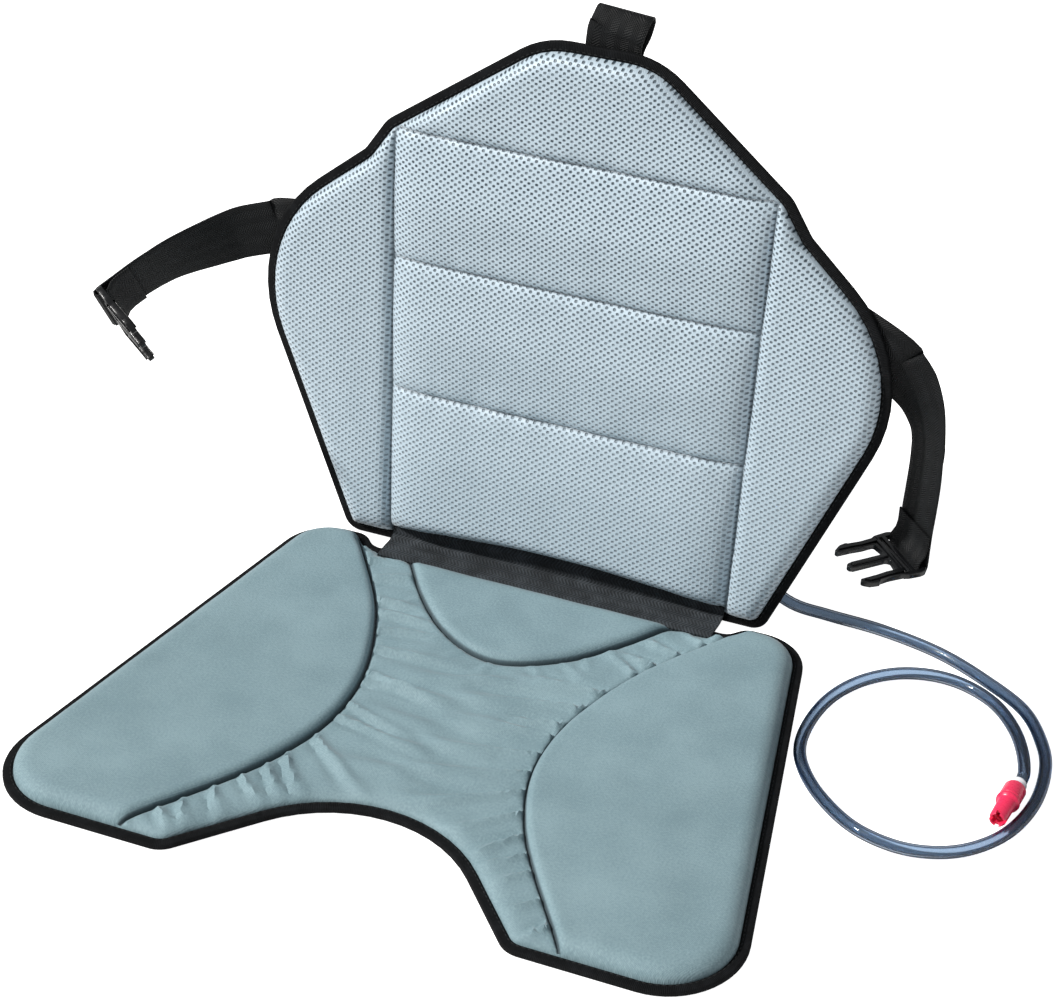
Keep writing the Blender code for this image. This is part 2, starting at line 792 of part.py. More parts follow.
def build_hinge():
    """The wide webbing that the backrest folds on, sewn over the seat's rear binding."""
    lift = BINDING_HEIGHT + GAP + WEBBING / 2
    columns = 12
    points = []
    for column in range(columns + 1):
        x = HINGE_HALF_WIDTH * (2 * column / columns - 1)
        seat_end = Vector((x, HINGE_Y - HINGE_SET - HINGE_LAP, lift))
        seat_edge = Vector((x, HINGE_Y - HINGE_SET + 0.001, lift))
        foot = on_backrest(x, 0.004, lift)
        top = on_backrest(x, hinge_top(x), lift)
        bend = (seat_edge + foot) / 2 + Vector((0, 0.0012, -0.0012))
        points.append([seat_end, seat_edge, bend, foot, on_backrest(x, 0.008, lift), top])
    rows = len(points[0])
    solid, faces = [], []
    for line in points:
        for i, point in enumerate(line):
            along = line[min(i + 1, rows - 1)] - line[max(i - 1, 0)]
            normal = Vector((1, 0, 0)).cross(along).normalized() * WEBBING / 2
            solid += [point + normal, point - normal]
    for column in range(columns):
        for row in range(rows - 1):
            a = 2 * (column * rows + row)
            b = a + 2 * rows
            faces += [(a, a + 2, b + 2, b), (a + 1, b + 1, b + 3, a + 3)]
        for row in (0, rows - 1):
            a = 2 * (column * rows + row)
            faces.append((a, a + 2 * rows, a + 2 * rows + 1, a + 1))
    for row in range(rows - 1):
        for column in (0, columns):
            a = 2 * (column * rows + row)
            faces.append((a, a + 1, a + 3, a + 2))
    add_object("hinge_webbing", mesh_from("hinge_webbing", solid, faces), BLACK_CLOTH, 0.8)


def buckle_frame(centre, along, across):
    """Axes at a buckle's webbing bar: X across, Y towards the prongs, Z against the strap."""
    across = (across - along * along.dot(across)).normalized()
    prongs = along.cross(across)
    matrix = Matrix((across, prongs, -along)).transposed().to_4x4()
    matrix.translation = centre
    return matrix


def strap_end(frame, across):
    """Stations where the webbing goes round the buckle's bar and is sewn back on itself."""
    reach = WRAP
    depth = BUCKLE_THICKNESS / 2 + 0.0012 + WEBBING / 2
    back = -reach + WEBBING + GAP
    route = [
        (-reach, 0.012),
        (-reach, 0.0),
        (-reach * 0.75, -depth * 0.85),
        (0.0, -depth * 1.12),
        (reach * 0.75, -depth * 0.85),
        (reach, 0.0),
        (reach, depth * 1.1),
        (back + 0.0011, 0.0095),
        (back, 0.0145),
        (back, 0.025),
    ]
    return [(frame @ Vector((0, y, z)), across) for y, z in route]


def build_strap(name, side, route, buckle_across, turned_by):
    """A side strap: sewn flat behind a wing, out past the binding and down to its buckle.

    turned_by is the share of the free length in which it twists towards its buckle.
    """
    rear = -GAP - WEBBING / 2
    upright = on_backrest(0, 1, 0) - on_backrest(0, 0, 0)
    inner = on_backrest(side * (STRAP_INNER), STRAP_RISE, rear)
    edge = on_backrest(side * (STRAP_INNER + STRAP_SEWN), STRAP_RISE, rear)
    knots = [edge] + [Vector((x, HINGE_Y + y, z)) for x, y, z in route]
    line = [inner, *smooth_line(knots, 0.017)]
    last = (line[-1] - line[-2]).normalized()
    frame = buckle_frame(line[-1] + last * 0.013, last, buckle_across)
    frame.translation += frame.to_3x3() @ Vector((0, WRAP, 0))
    across_last = frame.to_3x3() @ Vector((-side, 0, 0))
    stations = []
    for i, point in enumerate(line):
        t = smooth((i - 1) / (len(line) - 3) / turned_by)
        stations.append((point, (-upright).lerp(across_last, t)))
    stations += strap_end(frame, across_last)
    mesh = ribbon_mesh(name, stations, STRAP_WIDTH, WEBBING)
    add_object(name, mesh, BLACK_CLOTH, 0.6)
    return frame


def buckle_outline():
    """Half of the male buckle from above: base, flexible arm with its barb, guide prong."""
    w = BUCKLE_WIDTH / 2
    base = BUCKLE_BASE
    tip = base + PRONG_LENGTH
    return [
        (0.0, -BUCKLE_BAR / 2 - 0.0003),
        (w - 0.004, -BUCKLE_BAR / 2),
        (w - 0.001, -BUCKLE_BAR / 2 + 0.002),
        (w, 0.004),
        (w - 0.0008, base - 0.003),
        (w - 0.0030, base + 0.001),
        (w - 0.0036, base + 0.010),
        (w - 0.0030, base + 0.017),
        (w - 0.0010, base + 0.0185),
        (w - 0.0018, tip - 0.006),
        (w - 0.0060, tip),
        (w - 0.0085, tip - 0.001),
        (w - 0.0078, tip - 0.010),
        (w - 0.0036 - PRONG_WIDTH, base + 0.010),
        (w - 0.0046 - PRONG_WIDTH, base + 0.002),
        (GUIDE_WIDTH / 2 + 0.002, base + 0.0005),
        (GUIDE_WIDTH / 2, base + 0.003),
        (GUIDE_WIDTH / 2 - 0.0004, tip - 0.002),
        (GUIDE_WIDTH / 2 - 0.0016, tip),
    ]


def build_buckle(name, frame):
    """A flat moulding with two webbing slots, and a raised rib along its guide prong."""
    half = buckle_outline()
    outer = half + [(-x, y) for x, y in reversed(half) if x > 0]
    slot_half = STRAP_WIDTH / 2 + 0.0008
    first = BUCKLE_BAR / 2
    second = first + BUCKLE_SLOT + 0.0030
    slots = []
    for start, depth in ((first, BUCKLE_SLOT), (second, 0.0030)):
        slots.append([(-slot_half, start), (slot_half, start), (slot_half, start + depth), (-slot_half, start + depth)])
    curve = bpy.data.curves.new(name, "CURVE")
    curve.dimensions = "2D"
    curve.fill_mode = "BOTH"
    curve.extrude = BUCKLE_THICKNESS / 2
    for loop in (outer, *slots):
        spline = curve.splines.new("POLY")
        spline.points.add(len(loop) - 1)
        for point, (x, y) in zip(spline.points, loop):
            point.co = (x, y, 0, 1)
        spline.use_cyclic_u = True
    obj = add_object(name, curve, BLACK_CLOTH, 0.3)
    obj.matrix_world = frame
    return obj


def build_loop():
    """The webbing loop on top: up from the rear cover, folded over and sewn down again."""
    rear = -GAP - WEBBING / 2
    second = rear - WEBBING - GAP
    route = [
        (BACK_HEIGHT - LOOP_SEWN, rear),
        (BACK_HEIGHT + 0.004, rear),
        (BACK_HEIGHT + 0.012, rear + 0.0010),
        (BACK_HEIGHT + LOOP_STAND - 0.006, rear - 0.001),
        (BACK_HEIGHT + LOOP_STAND, rear - 0.006),
        (BACK_HEIGHT + LOOP_STAND - 0.003, rear - 0.0125),
        (BACK_HEIGHT + LOOP_STAND - 0.013, rear - 0.0135),
        (BACK_HEIGHT + 0.001, rear - 0.0090),
        (BACK_HEIGHT - 0.012, second - 0.0008),
        (BACK_HEIGHT - LOOP_SEWN + 0.004, second),
    ]
    across = Vector((1, 0, 0))
    stations = [(on_backrest(LOOP_OFFSET, rise, depth), across) for rise, depth in route]
    mesh = ribbon_mesh("top_loop", stations, STRAP_WIDTH, WEBBING)
    add_object("top_loop", mesh, BLACK_CLOTH, 0.7)


def hose_route():
    """The hose from its gland, down to the ground and round one loop to the valve."""
    start = gland_mouth()
    low = HOSE_R + 0.0002
    ground = (
        (0.189, 0.041, low + 0.0010),
        (0.228, 0.040, low),
        (0.270, 0.031, low),
        (0.307, 0.014, low),
        (0.339, -0.007, low),
        (0.359, -0.036, low),
        (0.368, -0.062, low),
        (0.370, -0.095, low),
        (0.363, -0.126, low),
        (0.348, -0.149, low),
        (0.328, -0.163, low),
        (0.302, -0.168, low),
        (0.272, -0.161, low),
        (0.245, -0.142, low),
        (0.226, -0.120, low),
        (0.216, -0.098, low),
        (0.214, -0.070, low),
        (0.219, -0.042, low),
        (0.232, -0.018, low),
        (0.252, -0.001, low),
        (0.276, 0.006, low),
        (0.299, 0.003, low),
        (0.321, -0.009, low),
        (0.339, -0.030, low + 0.0006),
        (0.351, -0.054, low + 0.0022),
    )
    end = valve_place(0.0)
    before_end = valve_place(-0.010)
    knots = [start, start + Vector((0.012, 0.0, -0.001)), Vector((0.166, HINGE_Y + 0.031, 0.0155))]
    knots += [Vector((x, HINGE_Y + y, z)) for x, y, z in ground]
    return [*knots, before_end, end]


def gland_mouth():
    """Where the hose leaves the gland behind the backrest."""
    return on_backrest(GLAND_SIDE + 0.016, GLAND_RISE, -GAP - 0.0022 - HOSE_R - 0.0010)


def valve_place(along):
    """A point on the valve's axis, measured from the end of the hose."""
    start = Vector((0.3565, HINGE_Y - 0.0850, VALVE_AXIS_Z))
    direction = Vector((-0.060, -1.0, 0.060)).normalized()
    return start + direction * along


def valve_frame():
    axis = (valve_place(1.0) - valve_place(0.0)).normalized()
    matrix = axis.to_track_quat("Z", "Y").to_matrix().to_4x4()
    matrix.translation = valve_place(0.0)
    return matrix


def build_hose():
    route = hose_route()
    curve = bpy.data.curves.new("air_hose", "CURVE")
    curve.dimensions = "3D"
    curve.bevel_depth = HOSE_R
    curve.bevel_resolution = 2
    curve.use_fill_caps = True
    line = smooth_line(route, 0.0165)
    spline = curve.splines.new("POLY")
    spline.points.add(len(line) - 1)
    for point, place in zip(spline.points, line):
        point.co = (*place, 1)
    add_object("air_hose", curve, (0.75, 0.80, 0.85), 0.1)


def build_gland():
    """The bladder's elbow: a disc sewn under the rear cover's eyelet and a barbed spout."""
    centre = on_backrest(GLAND_SIDE, GLAND_RISE, -GAP)
    outwards = (on_backrest(0, 0, -1) - on_backrest(0, 0, 0)).normalized()
    disc = outwards.to_track_quat("Z", "Y").to_matrix().to_4x4()
    disc.translation = centre
    height = 0.0022 + HOSE_R + 0.0010
    boss_r = 0.0056
    profile = [(0, 0), (GLAND_R, 0), (GLAND_R, 0.0014), (GLAND_R - 0.0008, 0.0022), (boss_r, 0.0022), (boss_r, height + 0.0036), (boss_r - 0.001, height + 0.0046), (0, height + 0.0046)]
    base = add_object("hose_gland", turned_mesh("hose_gland", profile, 20, disc), BLACK_CLOTH, 0.4)
    mouth = gland_mouth()
    spout = Matrix.Rotation(math.pi / 2, 4, "Y")
    spout.translation = mouth - Vector((0.0165, 0, 0))
    profile = [(0, 0), (0.0050, 0), (0.0050, 0.0110), (0.0040, 0.0165 - 0.0006), (0, 0.0165 - 0.0006)]
    tool = bpy.data.objects.new("gland_spout", turned_mesh("gland_spout", profile, 16, spout))
    tool.hide_render = True
    tool.display_type = "WIRE"
    CUTTERS.objects.link(tool)
    join = base.modifiers.new("spout", "BOOLEAN")
    join.operation = "UNION"
    join.solver = "EXACT"
    join.object = tool


def build_valve():
    """A white stem pushed into the hose, and the red mouthpiece that slides on it."""
    frame = valve_frame()
    neck = [
        (0, GAP),
        (NECK_R + 0.0006, GAP),
        (NECK_R + 0.0006, 0.0012),
        (NECK_R, 0.0012 + 0.0004),
        (NECK_R, NECK_LENGTH - 0.0010),
        (NECK_R - 0.0008, NECK_LENGTH),
        (0, NECK_LENGTH),
    ]
    add_object("valve_stem", turned_mesh("valve_stem", neck, 24, frame), (0.85, 0.88, 0.90), 0.35)
    bore = NECK_R + NECK_CLEARANCE
    low = NECK_SHOWN
    ring = low + COLLAR_LENGTH
    mouth = ring + NOZZLE_LENGTH
    throat = NECK_LENGTH + VALVE_SHIFT + 0.0015
    profile = [
        (bore, low),
        (COLLAR_R - 0.0009, low),
        (COLLAR_R, low + 0.0010),
        (COLLAR_R, ring - 0.0036),
        (COLLAR_R + 0.0005, ring - 0.0030),
        (COLLAR_R + 0.0005, ring - 0.0008),
        (COLLAR_R - 0.0008, ring),
        (NOZZLE_R, ring + 0.0008),
        (NOZZLE_R - 0.0003, mouth - 0.0012),
        (NOZZLE_R - 0.0008, mouth),
        (MOUTH_R, mouth),
        (MOUTH_R, mouth - MOUTH_DEPTH),
        (MOUTH_BORE_R, mouth - MOUTH_DEPTH - 0.0010),
        (MOUTH_BORE_R, throat + 0.0010),
        (bore, throat),
    ]
    mesh = turned_mesh("valve_mouthpiece", profile, 24, frame)
    nozzle = add_object("valve_mouthpiece", mesh, (0.75, 0.02, 0.05), 0.35)
    slot = bpy.data.meshes.new("mouth_slots")
    made = bmesh.new()
    for turn in (0, math.pi / 2):
        size = Matrix.Diagonal((0.0150, 0.0026, 0.0064, 1))
        place = Matrix.Translation((0, 0, mouth))
        bmesh.ops.create_cube(made, size=1, matrix=frame @ place @ Matrix.Rotation(turn, 4, "Z") @ size)
    made.to_mesh(slot)
    made.free()
    cutter = bpy.data.objects.new("mouth_slots", slot)
    cutter.hide_render = True
    cutter.display_type = "WIRE"
    CUTTERS.objects.link(cutter)
    cut = nozzle.modifiers.new("slots", "BOOLEAN")
    cut.operation = "DIFFERENCE"
    cut.solver = "EXACT"
    cut.use_self = True
    cut.object = cutter


def main():
    build_seat()
    build_backrest()
    build_hinge()
    left_route = (
        (-0.2240, 0.050, 0.2125),
        (-0.2450, 0.042, 0.2085),
        (-0.2670, 0.028, 0.2010),
        (-0.2870, 0.010, 0.1940),
        (-0.3010, -0.008, 0.1860),
        (-0.3100, -0.020, 0.1790),
    )
    frame = build_strap("left_side_strap", -1, left_route, Vector((0.09, 0.53, -0.84)), 1.0)
    build_buckle("left_buckle", frame)
    right_route = (
        (0.2270, 0.0510, 0.2135),
        (0.2380, 0.0525, 0.2040),
        (0.2450, 0.0520, 0.1860),
        (0.2470, 0.0510, 0.1620),
        (0.2455, 0.0500, 0.1280),
        (0.2430, 0.0500, 0.1020),
        (0.2420, 0.0500, 0.0800),
    )
    frame = build_strap("right_side_strap", 1, right_route, Vector((0.72, -0.67, -0.157)), 0.5)
    build_buckle("right_buckle", frame)
    build_loop()
    build_gland()
    build_hose()
    build_valve()


clear_scene()
PARTS = bpy.data.collections.new("kayak_seat")
CUTTERS = bpy.data.collections.new("cutters")
bpy.context.scene.collection.children.link(PARTS)
bpy.context.scene.collection.children.link(CUTTERS)
main()
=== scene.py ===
"""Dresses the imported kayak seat: fine cloth, bindings, webbing, buckles, hose and valve."""

import math

import bmesh
import bpy
import numpy as np
from mathutils import Matrix, Vector, noise
from mathutils.geometry import delaunay_2d_cdt


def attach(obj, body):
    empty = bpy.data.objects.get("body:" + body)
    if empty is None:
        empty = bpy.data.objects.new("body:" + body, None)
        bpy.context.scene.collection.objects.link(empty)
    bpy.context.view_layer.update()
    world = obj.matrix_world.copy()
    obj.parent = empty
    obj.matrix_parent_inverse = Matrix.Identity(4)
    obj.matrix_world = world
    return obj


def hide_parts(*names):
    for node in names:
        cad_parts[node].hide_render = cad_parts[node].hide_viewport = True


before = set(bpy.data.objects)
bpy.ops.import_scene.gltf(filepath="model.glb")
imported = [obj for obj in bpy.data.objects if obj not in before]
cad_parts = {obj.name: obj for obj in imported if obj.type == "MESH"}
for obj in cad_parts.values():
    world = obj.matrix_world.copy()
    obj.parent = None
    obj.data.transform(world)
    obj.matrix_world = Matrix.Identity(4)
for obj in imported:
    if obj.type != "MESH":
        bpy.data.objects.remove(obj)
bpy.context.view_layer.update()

# Sizes in metres: cloth, folded tape and the gap between neighbours
GAP = 0.0003
CLOTH = 0.0008
BINDING_WALL = 0.0009
BINDING_LIP = 0.0056
RIM_CLOTHS = 2 * CLOTH + GAP
BINDING_HEIGHT = 2 * BINDING_WALL + 2 * GAP + RIM_CLOTHS
REAR_RIM = BINDING_WALL + GAP
FRONT_RIM = REAR_RIM + RIM_CLOTHS
EDGE_SLOPE = 0.0125

# Seat: plan outline from the fold, then heights over the under cloth
HINGE_Y = 0.150
SEAT_DEPTH = 0.345
SEAT_FRONT_HALF = 0.2608
SEAT_REAR_HALF = 0.1850
FRONT_CORNER_R = 0.050
REAR_CORNER_R = 0.035
NOTCH_PEAK = 0.1262
NOTCH_PEAK_R = 0.095
NOTCH_MOUTH_HALF = 0.116
NOTCH_MOUTH_R = 0.018
LOBE_REACH = 0.005
HINGE_SET = 0.006
LOBE_R = 0.012
PAD_HEIGHT = 0.0145
CENTRE_HEIGHT = 0.0095
VALLEY_HEIGHT = 0.0072

# Backrest: how it stands, its outline from the foot up, then the depth of its padding
BACK_LEAN = math.radians(8.3)
BACK_SET = 0.0163
BACK_FOOT = 0.0015
BACK_HEIGHT = 0.384
BACK_FOOT_HALF = 0.1546
BACK_FOOT_R = 0.012
WING_HALF = 0.2443
WING_RISE = 0.2085
WING_R = 0.100
NECK_HALF = 0.156
NECK_RISE = 0.285
NECK_R_IN = 0.015
SHOULDER_HALF = 0.141
SHOULDER_RISE = 0.308
SHOULDER_R = 0.020
CROWN_HALF = 0.0455
CROWN_R = 0.060
LEFT_LEAN = 0.0042
SEAM_FOOT_HALF = 0.125
SEAM_TOP_HALF = 0.134
WING_DEPTH = 0.0135
CROWN_DEPTH = 0.0150
CHANNEL_RISES = (0.121, 0.217, 0.307)
CHANNEL_SEAM_DEPTH = 0.0150
CHANNEL_PUFF = 0.0085
CROWN_SEAM_DEPTH = 0.0105
SEAM_VALLEY = 0.0062

# Webbing: the strip on the fold, the side straps and the top loop
HINGE_HALF_WIDTH = 0.124
HINGE_TOP_END = 0.010
HINGE_TOP_MIDDLE = 0.0185
HINGE_LAP = 0.0095
HINGE_RIM = HINGE_LAP + 0.0010
WEBBING = 0.0016
STRAP_WIDTH = 0.038
STRAP_RISE = 0.218
STRAP_EDGE = 0.212
STRAP_SEWN = 0.060
LEFT_STRAP_DROP = math.radians(5)
RIGHT_STRAP_DROP = math.radians(24)

# A strap's free points, across, from the fold and up, then its buckle's bar and directions
LEFT_STRAP_ROUTE = (
    (-0.2240, 0.050, 0.2125),
    (-0.2450, 0.042, 0.2080),
    (-0.2670, 0.028, 0.2005),
    (-0.2870, 0.010, 0.1935),
)
LEFT_BUCKLE_PLACE = (-0.314303, -0.031067, 0.172763)
LEFT_BUCKLE_ALONG = (-0.543709, -0.724948, -0.422884)
LEFT_BUCKLE_ACROSS = (0.047902, 0.476242, -0.878009)
RIGHT_STRAP_ROUTE = (
    (0.2205, 0.0505, 0.2075),
    (0.2300, 0.0522, 0.1950),
    (0.2385, 0.0525, 0.1790),
    (0.2440, 0.0515, 0.1600),
    (0.2450, 0.0500, 0.1300),
)
RIGHT_BUCKLE_PLACE = (0.239175, 0.047574, 0.067115)
RIGHT_BUCKLE_ALONG = (-0.04541, 0.0, -0.998968)
RIGHT_BUCKLE_ACROSS = (0.734303, -0.678001, -0.033379)

LOOP_OFFSET = 0.0115
LOOP_LEAN = 0.22
LOOP_STAND = 0.024
LOOP_SEWN = 0.040

# Buckle moulding
BUCKLE_WIDTH = 0.048
BUCKLE_BASE = 0.0165
BUCKLE_THICKNESS = 0.0042
BUCKLE_BAR = 0.0034
BUCKLE_SLOT = 0.0048
RIB_HEIGHT = 0.0012
WRAP = BUCKLE_BAR / 2 + 0.0008 + WEBBING / 2
PRONG_LENGTH = 0.030
PRONG_WIDTH = 0.0048
GUIDE_WIDTH = 0.0062

# Hose, elbow and mouth valve
HOSE_R = 0.0042
HOSE_BORE_R = 0.0029
GLAND_RISE = 0.032
GLAND_SIDE = 0.112
VALVE_AXIS_Z = 0.0084
COLLAR_R = 0.0074
COLLAR_LENGTH = 0.0165
NOZZLE_R = 0.0059
NOZZLE_LENGTH = 0.0195
NECK_R = 0.0050
NECK_LENGTH = 0.0135
NECK_SHOWN = 0.0065
MOUTH_SLOT = (0.0150, 0.0026, 0.0064)

# Camera of the photograph
CAMERA_PLACE = (0.6376, -1.3855, 1.2222)
CAMERA_AZIMUTH = math.radians(23.016)
CAMERA_ELEVATION = math.radians(34.592)
CAMERA_LENS = 101.283

# Light: the studio all round, the sun, and the glow that keeps the ground white
STUDIO_LEVEL = 0.36
SUN_LEVEL = 3.9
SUN_TOWARDS = (0.82, 0.50, -0.92)
GROUND_GLOW = 0.96

# Pitches of the mesh's holes, and steps of outlines and their inset rings
HOLE_PITCH = 0.0054
ROW_PAIR = 0.0042
ARC_STEP = math.radians(7)
OUTLINE_STEP = 0.0045
EDGE_RINGS = (BINDING_LIP, 0.0062, 0.0072, 0.0086, 0.0106, 0.0132, 0.0162, 0.0195)


def set_inputs(node, values):
    for name, value in values.items():
        node.inputs[name].default_value = value


def effect_group(name, inputs, output):
    """An empty effect: inputs are (name, kind). Gives its nodes, links, inlet and outlet."""
    group = bpy.data.node_groups.new(name, "ShaderNodeTree")
    for socket, kind in inputs:
        group.interface.new_socket(name=socket, in_out="INPUT", socket_type=f"NodeSocket{kind}")
    group.interface.new_socket(name=output, in_out="OUTPUT", socket_type="NodeSocketFloat")
    inlet, outlet = group.nodes.new("NodeGroupInput"), group.nodes.new("NodeGroupOutput")
    return group.nodes, group.links, inlet, outlet


def thread_rows():
    """Rows of thread, from -1 between two rows to 1 on top of one."""
    sockets = (("Along", "Float"), ("Pitch", "Float"))
    nodes, links, inlet, outlet = effect_group("thread_rows", sockets, "Rows")
    turns, angle, wave = (nodes.new("ShaderNodeMath") for _ in range(3))
    turns.operation, angle.operation, wave.operation = "DIVIDE", "MULTIPLY", "SINE"
    angle.inputs[1].default_value = 2 * math.pi
    links.new(inlet.outputs["Along"], turns.inputs[0])
    links.new(inlet.outputs["Pitch"], turns.inputs[1])
    links.new(turns.outputs[0], angle.inputs[0])
    links.new(angle.outputs[0], wave.inputs[0])
    links.new(wave.outputs[0], outlet.inputs["Rows"])


def worn_patches():
    """Soft patches of wear, grain or dust, from 0 to 1."""
    sockets = (("Place", "Vector"), ("Scale", "Float"), ("Detail", "Float"))
    nodes, links, inlet, outlet = effect_group("worn_patches", sockets, "Patches")
    cloud = nodes.new("ShaderNodeTexNoise")
    links.new(inlet.outputs["Place"], cloud.inputs["Vector"])
    links.new(inlet.outputs["Scale"], cloud.inputs["Scale"])
    links.new(inlet.outputs["Detail"], cloud.inputs["Detail"])
    links.new(cloud.outputs["Fac"], outlet.inputs["Patches"])


class Shade:
    """A material's node tree, with short calls for the nodes used here."""

    def __init__(self, name, colour=(0.5, 0.5, 0.5), roughness=0.5):
        self.material = bpy.data.materials.new(name)
        self.material.use_nodes = True
        self.tree = self.material.node_tree
        self.shader = self.tree.nodes["Principled BSDF"]
        set_inputs(self.shader, {"Base Color": (*colour, 1), "Roughness": roughness})

    def node(self, kind, **settings):
        made = self.tree.nodes.new(kind)
        for key, value in settings.items():
            setattr(made, key, value)
        return made

    def link(self, a, b):
        self.tree.links.new(a, b)

    def feed(self, made, index, value):
        if isinstance(value, bpy.types.NodeSocket):
            self.link(value, made.inputs[index])
        else:
            made.inputs[index].default_value = value

    def math(self, operation, *values):
        made = self.node("ShaderNodeMath", operation=operation)
        for i, value in enumerate(values):
            self.feed(made, i, value)
        return made.outputs[0]

    def effect(self, name, *values):
        made = self.node("ShaderNodeGroup", node_tree=bpy.data.node_groups[name])
        for i, value in enumerate(values):
            self.feed(made, i, value)
        return made.outputs[0]

    def rows(self, along, pitch):
        return self.effect("thread_rows", along, pitch)

    def patches(self, place, scale, detail=2.0):
        return self.effect("worn_patches", place, scale, detail)

    def mark(self):
        made = self.node("ShaderNodeAttribute", attribute_name="marks")
        return made.outputs["Fac"]

    def facing(self, blend):
        made = self.node("ShaderNodeLayerWeight")
        made.inputs["Blend"].default_value = blend
        return made.outputs["Facing"]

    def uv(self):
        split = self.node("ShaderNodeSeparateXYZ")
        self.link(self.node("ShaderNodeTexCoord").outputs["UV"], split.inputs[0])
        return split.outputs[0], split.outputs[1]

    def place(self):
        return self.node("ShaderNodeTexCoord").outputs["Object"]

    def cells(self, x, y, z=0.0):
        made = self.node("ShaderNodeCombineXYZ")
        for i, value in enumerate((x, y, z)):
            self.feed(made, i, value)
        return made.outputs[0]

    def range(self, value, low, high, to_low=0.0, to_high=1.0):
        made = self.node("ShaderNodeMapRange", interpolation_type="SMOOTHSTEP")
        for i, v in enumerate((value, low, high, to_low, to_high)):
            self.feed(made, i, v)
        return made.outputs[0]

    def mix(self, factor, a, b):
        made = self.node("ShaderNodeMix", data_type="RGBA")
        self.feed(made, 0, factor)
        for index, value in ((6, a), (7, b)):
            if isinstance(value, tuple):
                value = (*value, 1)
            self.feed(made, index, value)
        return made.outputs[2]

    def colour(self, socket):
        self.link(socket, self.shader.inputs["Base Color"])

    def roughness(self, socket):
        self.link(socket, self.shader.inputs["Roughness"])

    def bump(self, height, distance, strength=1.0):
        made = self.node("ShaderNodeBump")
        made.inputs["Strength"].default_value = strength
        made.inputs["Distance"].default_value = distance
        self.link(height, made.inputs["Height"])
        for existing in self.shader.inputs["Normal"].links:
            self.link(existing.from_socket, made.inputs["Normal"])
        self.link(made.outputs[0], self.shader.inputs["Normal"])


def seat_cloth():
    """Grey-green twill, with painted shade in the sewn grooves, where the mark is the distance to one."""
    s = Shade("seat_cloth", roughness=0.6)
    set_inputs(s.shader, {"Sheen Weight": 0.2, "Sheen Roughness": 0.4, "Specular IOR Level": 0.3})
    x, y = s.uv()
    twill = s.rows(s.math("ADD", x, s.math("MULTIPLY", y, 1.7)), 0.0019)
    weft = s.rows(s.math("SUBTRACT", y, s.math("MULTIPLY", x, 1.3)), 0.0014)
    weave = s.math("ADD", s.math("MULTIPLY", twill, 0.5), s.math("MULTIPLY", weft, 0.5))
    plan = s.cells(x, y)
    patch = s.patches(plan, 22.0, 4.0)
    grain = s.patches(plan, 700.0, 3.0)
    tone = s.math("ADD", s.math("MULTIPLY", patch, 0.4), s.math("MULTIPLY", grain, 0.6))
    base = s.mix(s.range(tone, 0.32, 0.68), (0.175, 0.265, 0.296), (0.278, 0.393, 0.430))
    woven = s.mix(s.range(weave, -1, 1, 0.0, 0.4), base, (0.140, 0.215, 0.245))
    # Painted shade: the cloth turns nearly black close to each seam, where the groove lies in shadow.
    groove_shade = s.range(s.mark(), 0.0004, 0.0017, 0.85, 0.0)
    s.colour(s.mix(groove_shade, woven, (0.022, 0.034, 0.042)))
    s.bump(weave, 0.00014, 0.5)
    s.bump(grain, 0.0004, 0.45)
    return s.material


def spacer_mesh():
    """Silver mesh: dark holes HOLE_PITCH apart, in staggered rows half of ROW_PAIR apart."""
    s = Shade("spacer_mesh", roughness=0.42)
    set_inputs(s.shader, {"Sheen Weight": 0.25, "Sheen Roughness": 0.35, "Specular IOR Level": 0.5})
    x, y = s.uv()
    turn = 2 * math.pi
    plan = s.cells(x, y)
    wander = s.math("MULTIPLY", s.math("SUBTRACT", s.patches(plan, 60.0, 2.0), 0.5), 1.0)
    across = s.math("COSINE", s.math("ADD", s.math("MULTIPLY", x, turn / HOLE_PITCH), wander))
    up = s.math("COSINE", s.math("SUBTRACT", s.math("MULTIPLY", y, turn / ROW_PAIR), wander))
    holes = s.math("MULTIPLY", across, up)
    hole = s.range(holes, 0.10, 0.80)
    patch = s.patches(plan, 420.0, 3.0)
    thread = s.mix(patch, (0.385, 0.48, 0.55), (0.60, 0.71, 0.79))
    high = s.range(y, 0.05, 0.30, 0.60, 1.0)
    uneven = s.range(s.patches(plan, 160.0, 1.0), 0.25, 0.7, 0.7, 1.0)
    depth = s.math("MULTIPLY", hole, s.math("MULTIPLY", high, uneven))
    woven = s.mix(depth, thread, (0.030, 0.052, 0.072))
    # Painted shade: the mesh darkens close to its seams, where the sewn grooves lie in shadow.
    groove_shade = s.range(s.mark(), 0.0002, 0.0016, 0.55, 0.0)
    s.colour(s.mix(groove_shade, woven, (0.05, 0.07, 0.09)))
    s.bump(s.math("MULTIPLY", hole, -1.0), 0.0011, 0.9)
    strand = s.rows(s.math("ADD", x, y), 0.0011)
    s.bump(strand, 0.0001, 0.3)
    return s.material


def tape():
    """Black grosgrain tape, ribbed across its length."""
    s = Shade("grosgrain", roughness=0.8)
    set_inputs(s.shader, {"Specular IOR Level": 0.16})
    x, y = s.uv()
    ribs = s.rows(x, 0.0011)
    worn = s.patches(s.place(), 130.0, 4.0)
    tone = s.math("ADD", s.math("MULTIPLY", ribs, 0.12), worn)
    s.colour(s.mix(s.range(tone, 0.35, 0.85), (0.0016, 0.0019, 0.0024), (0.0075, 0.0085, 0.0100)))
    s.bump(ribs, 0.00018, 0.7)
    s.bump(worn, 0.0006, 0.3)
    return s.material


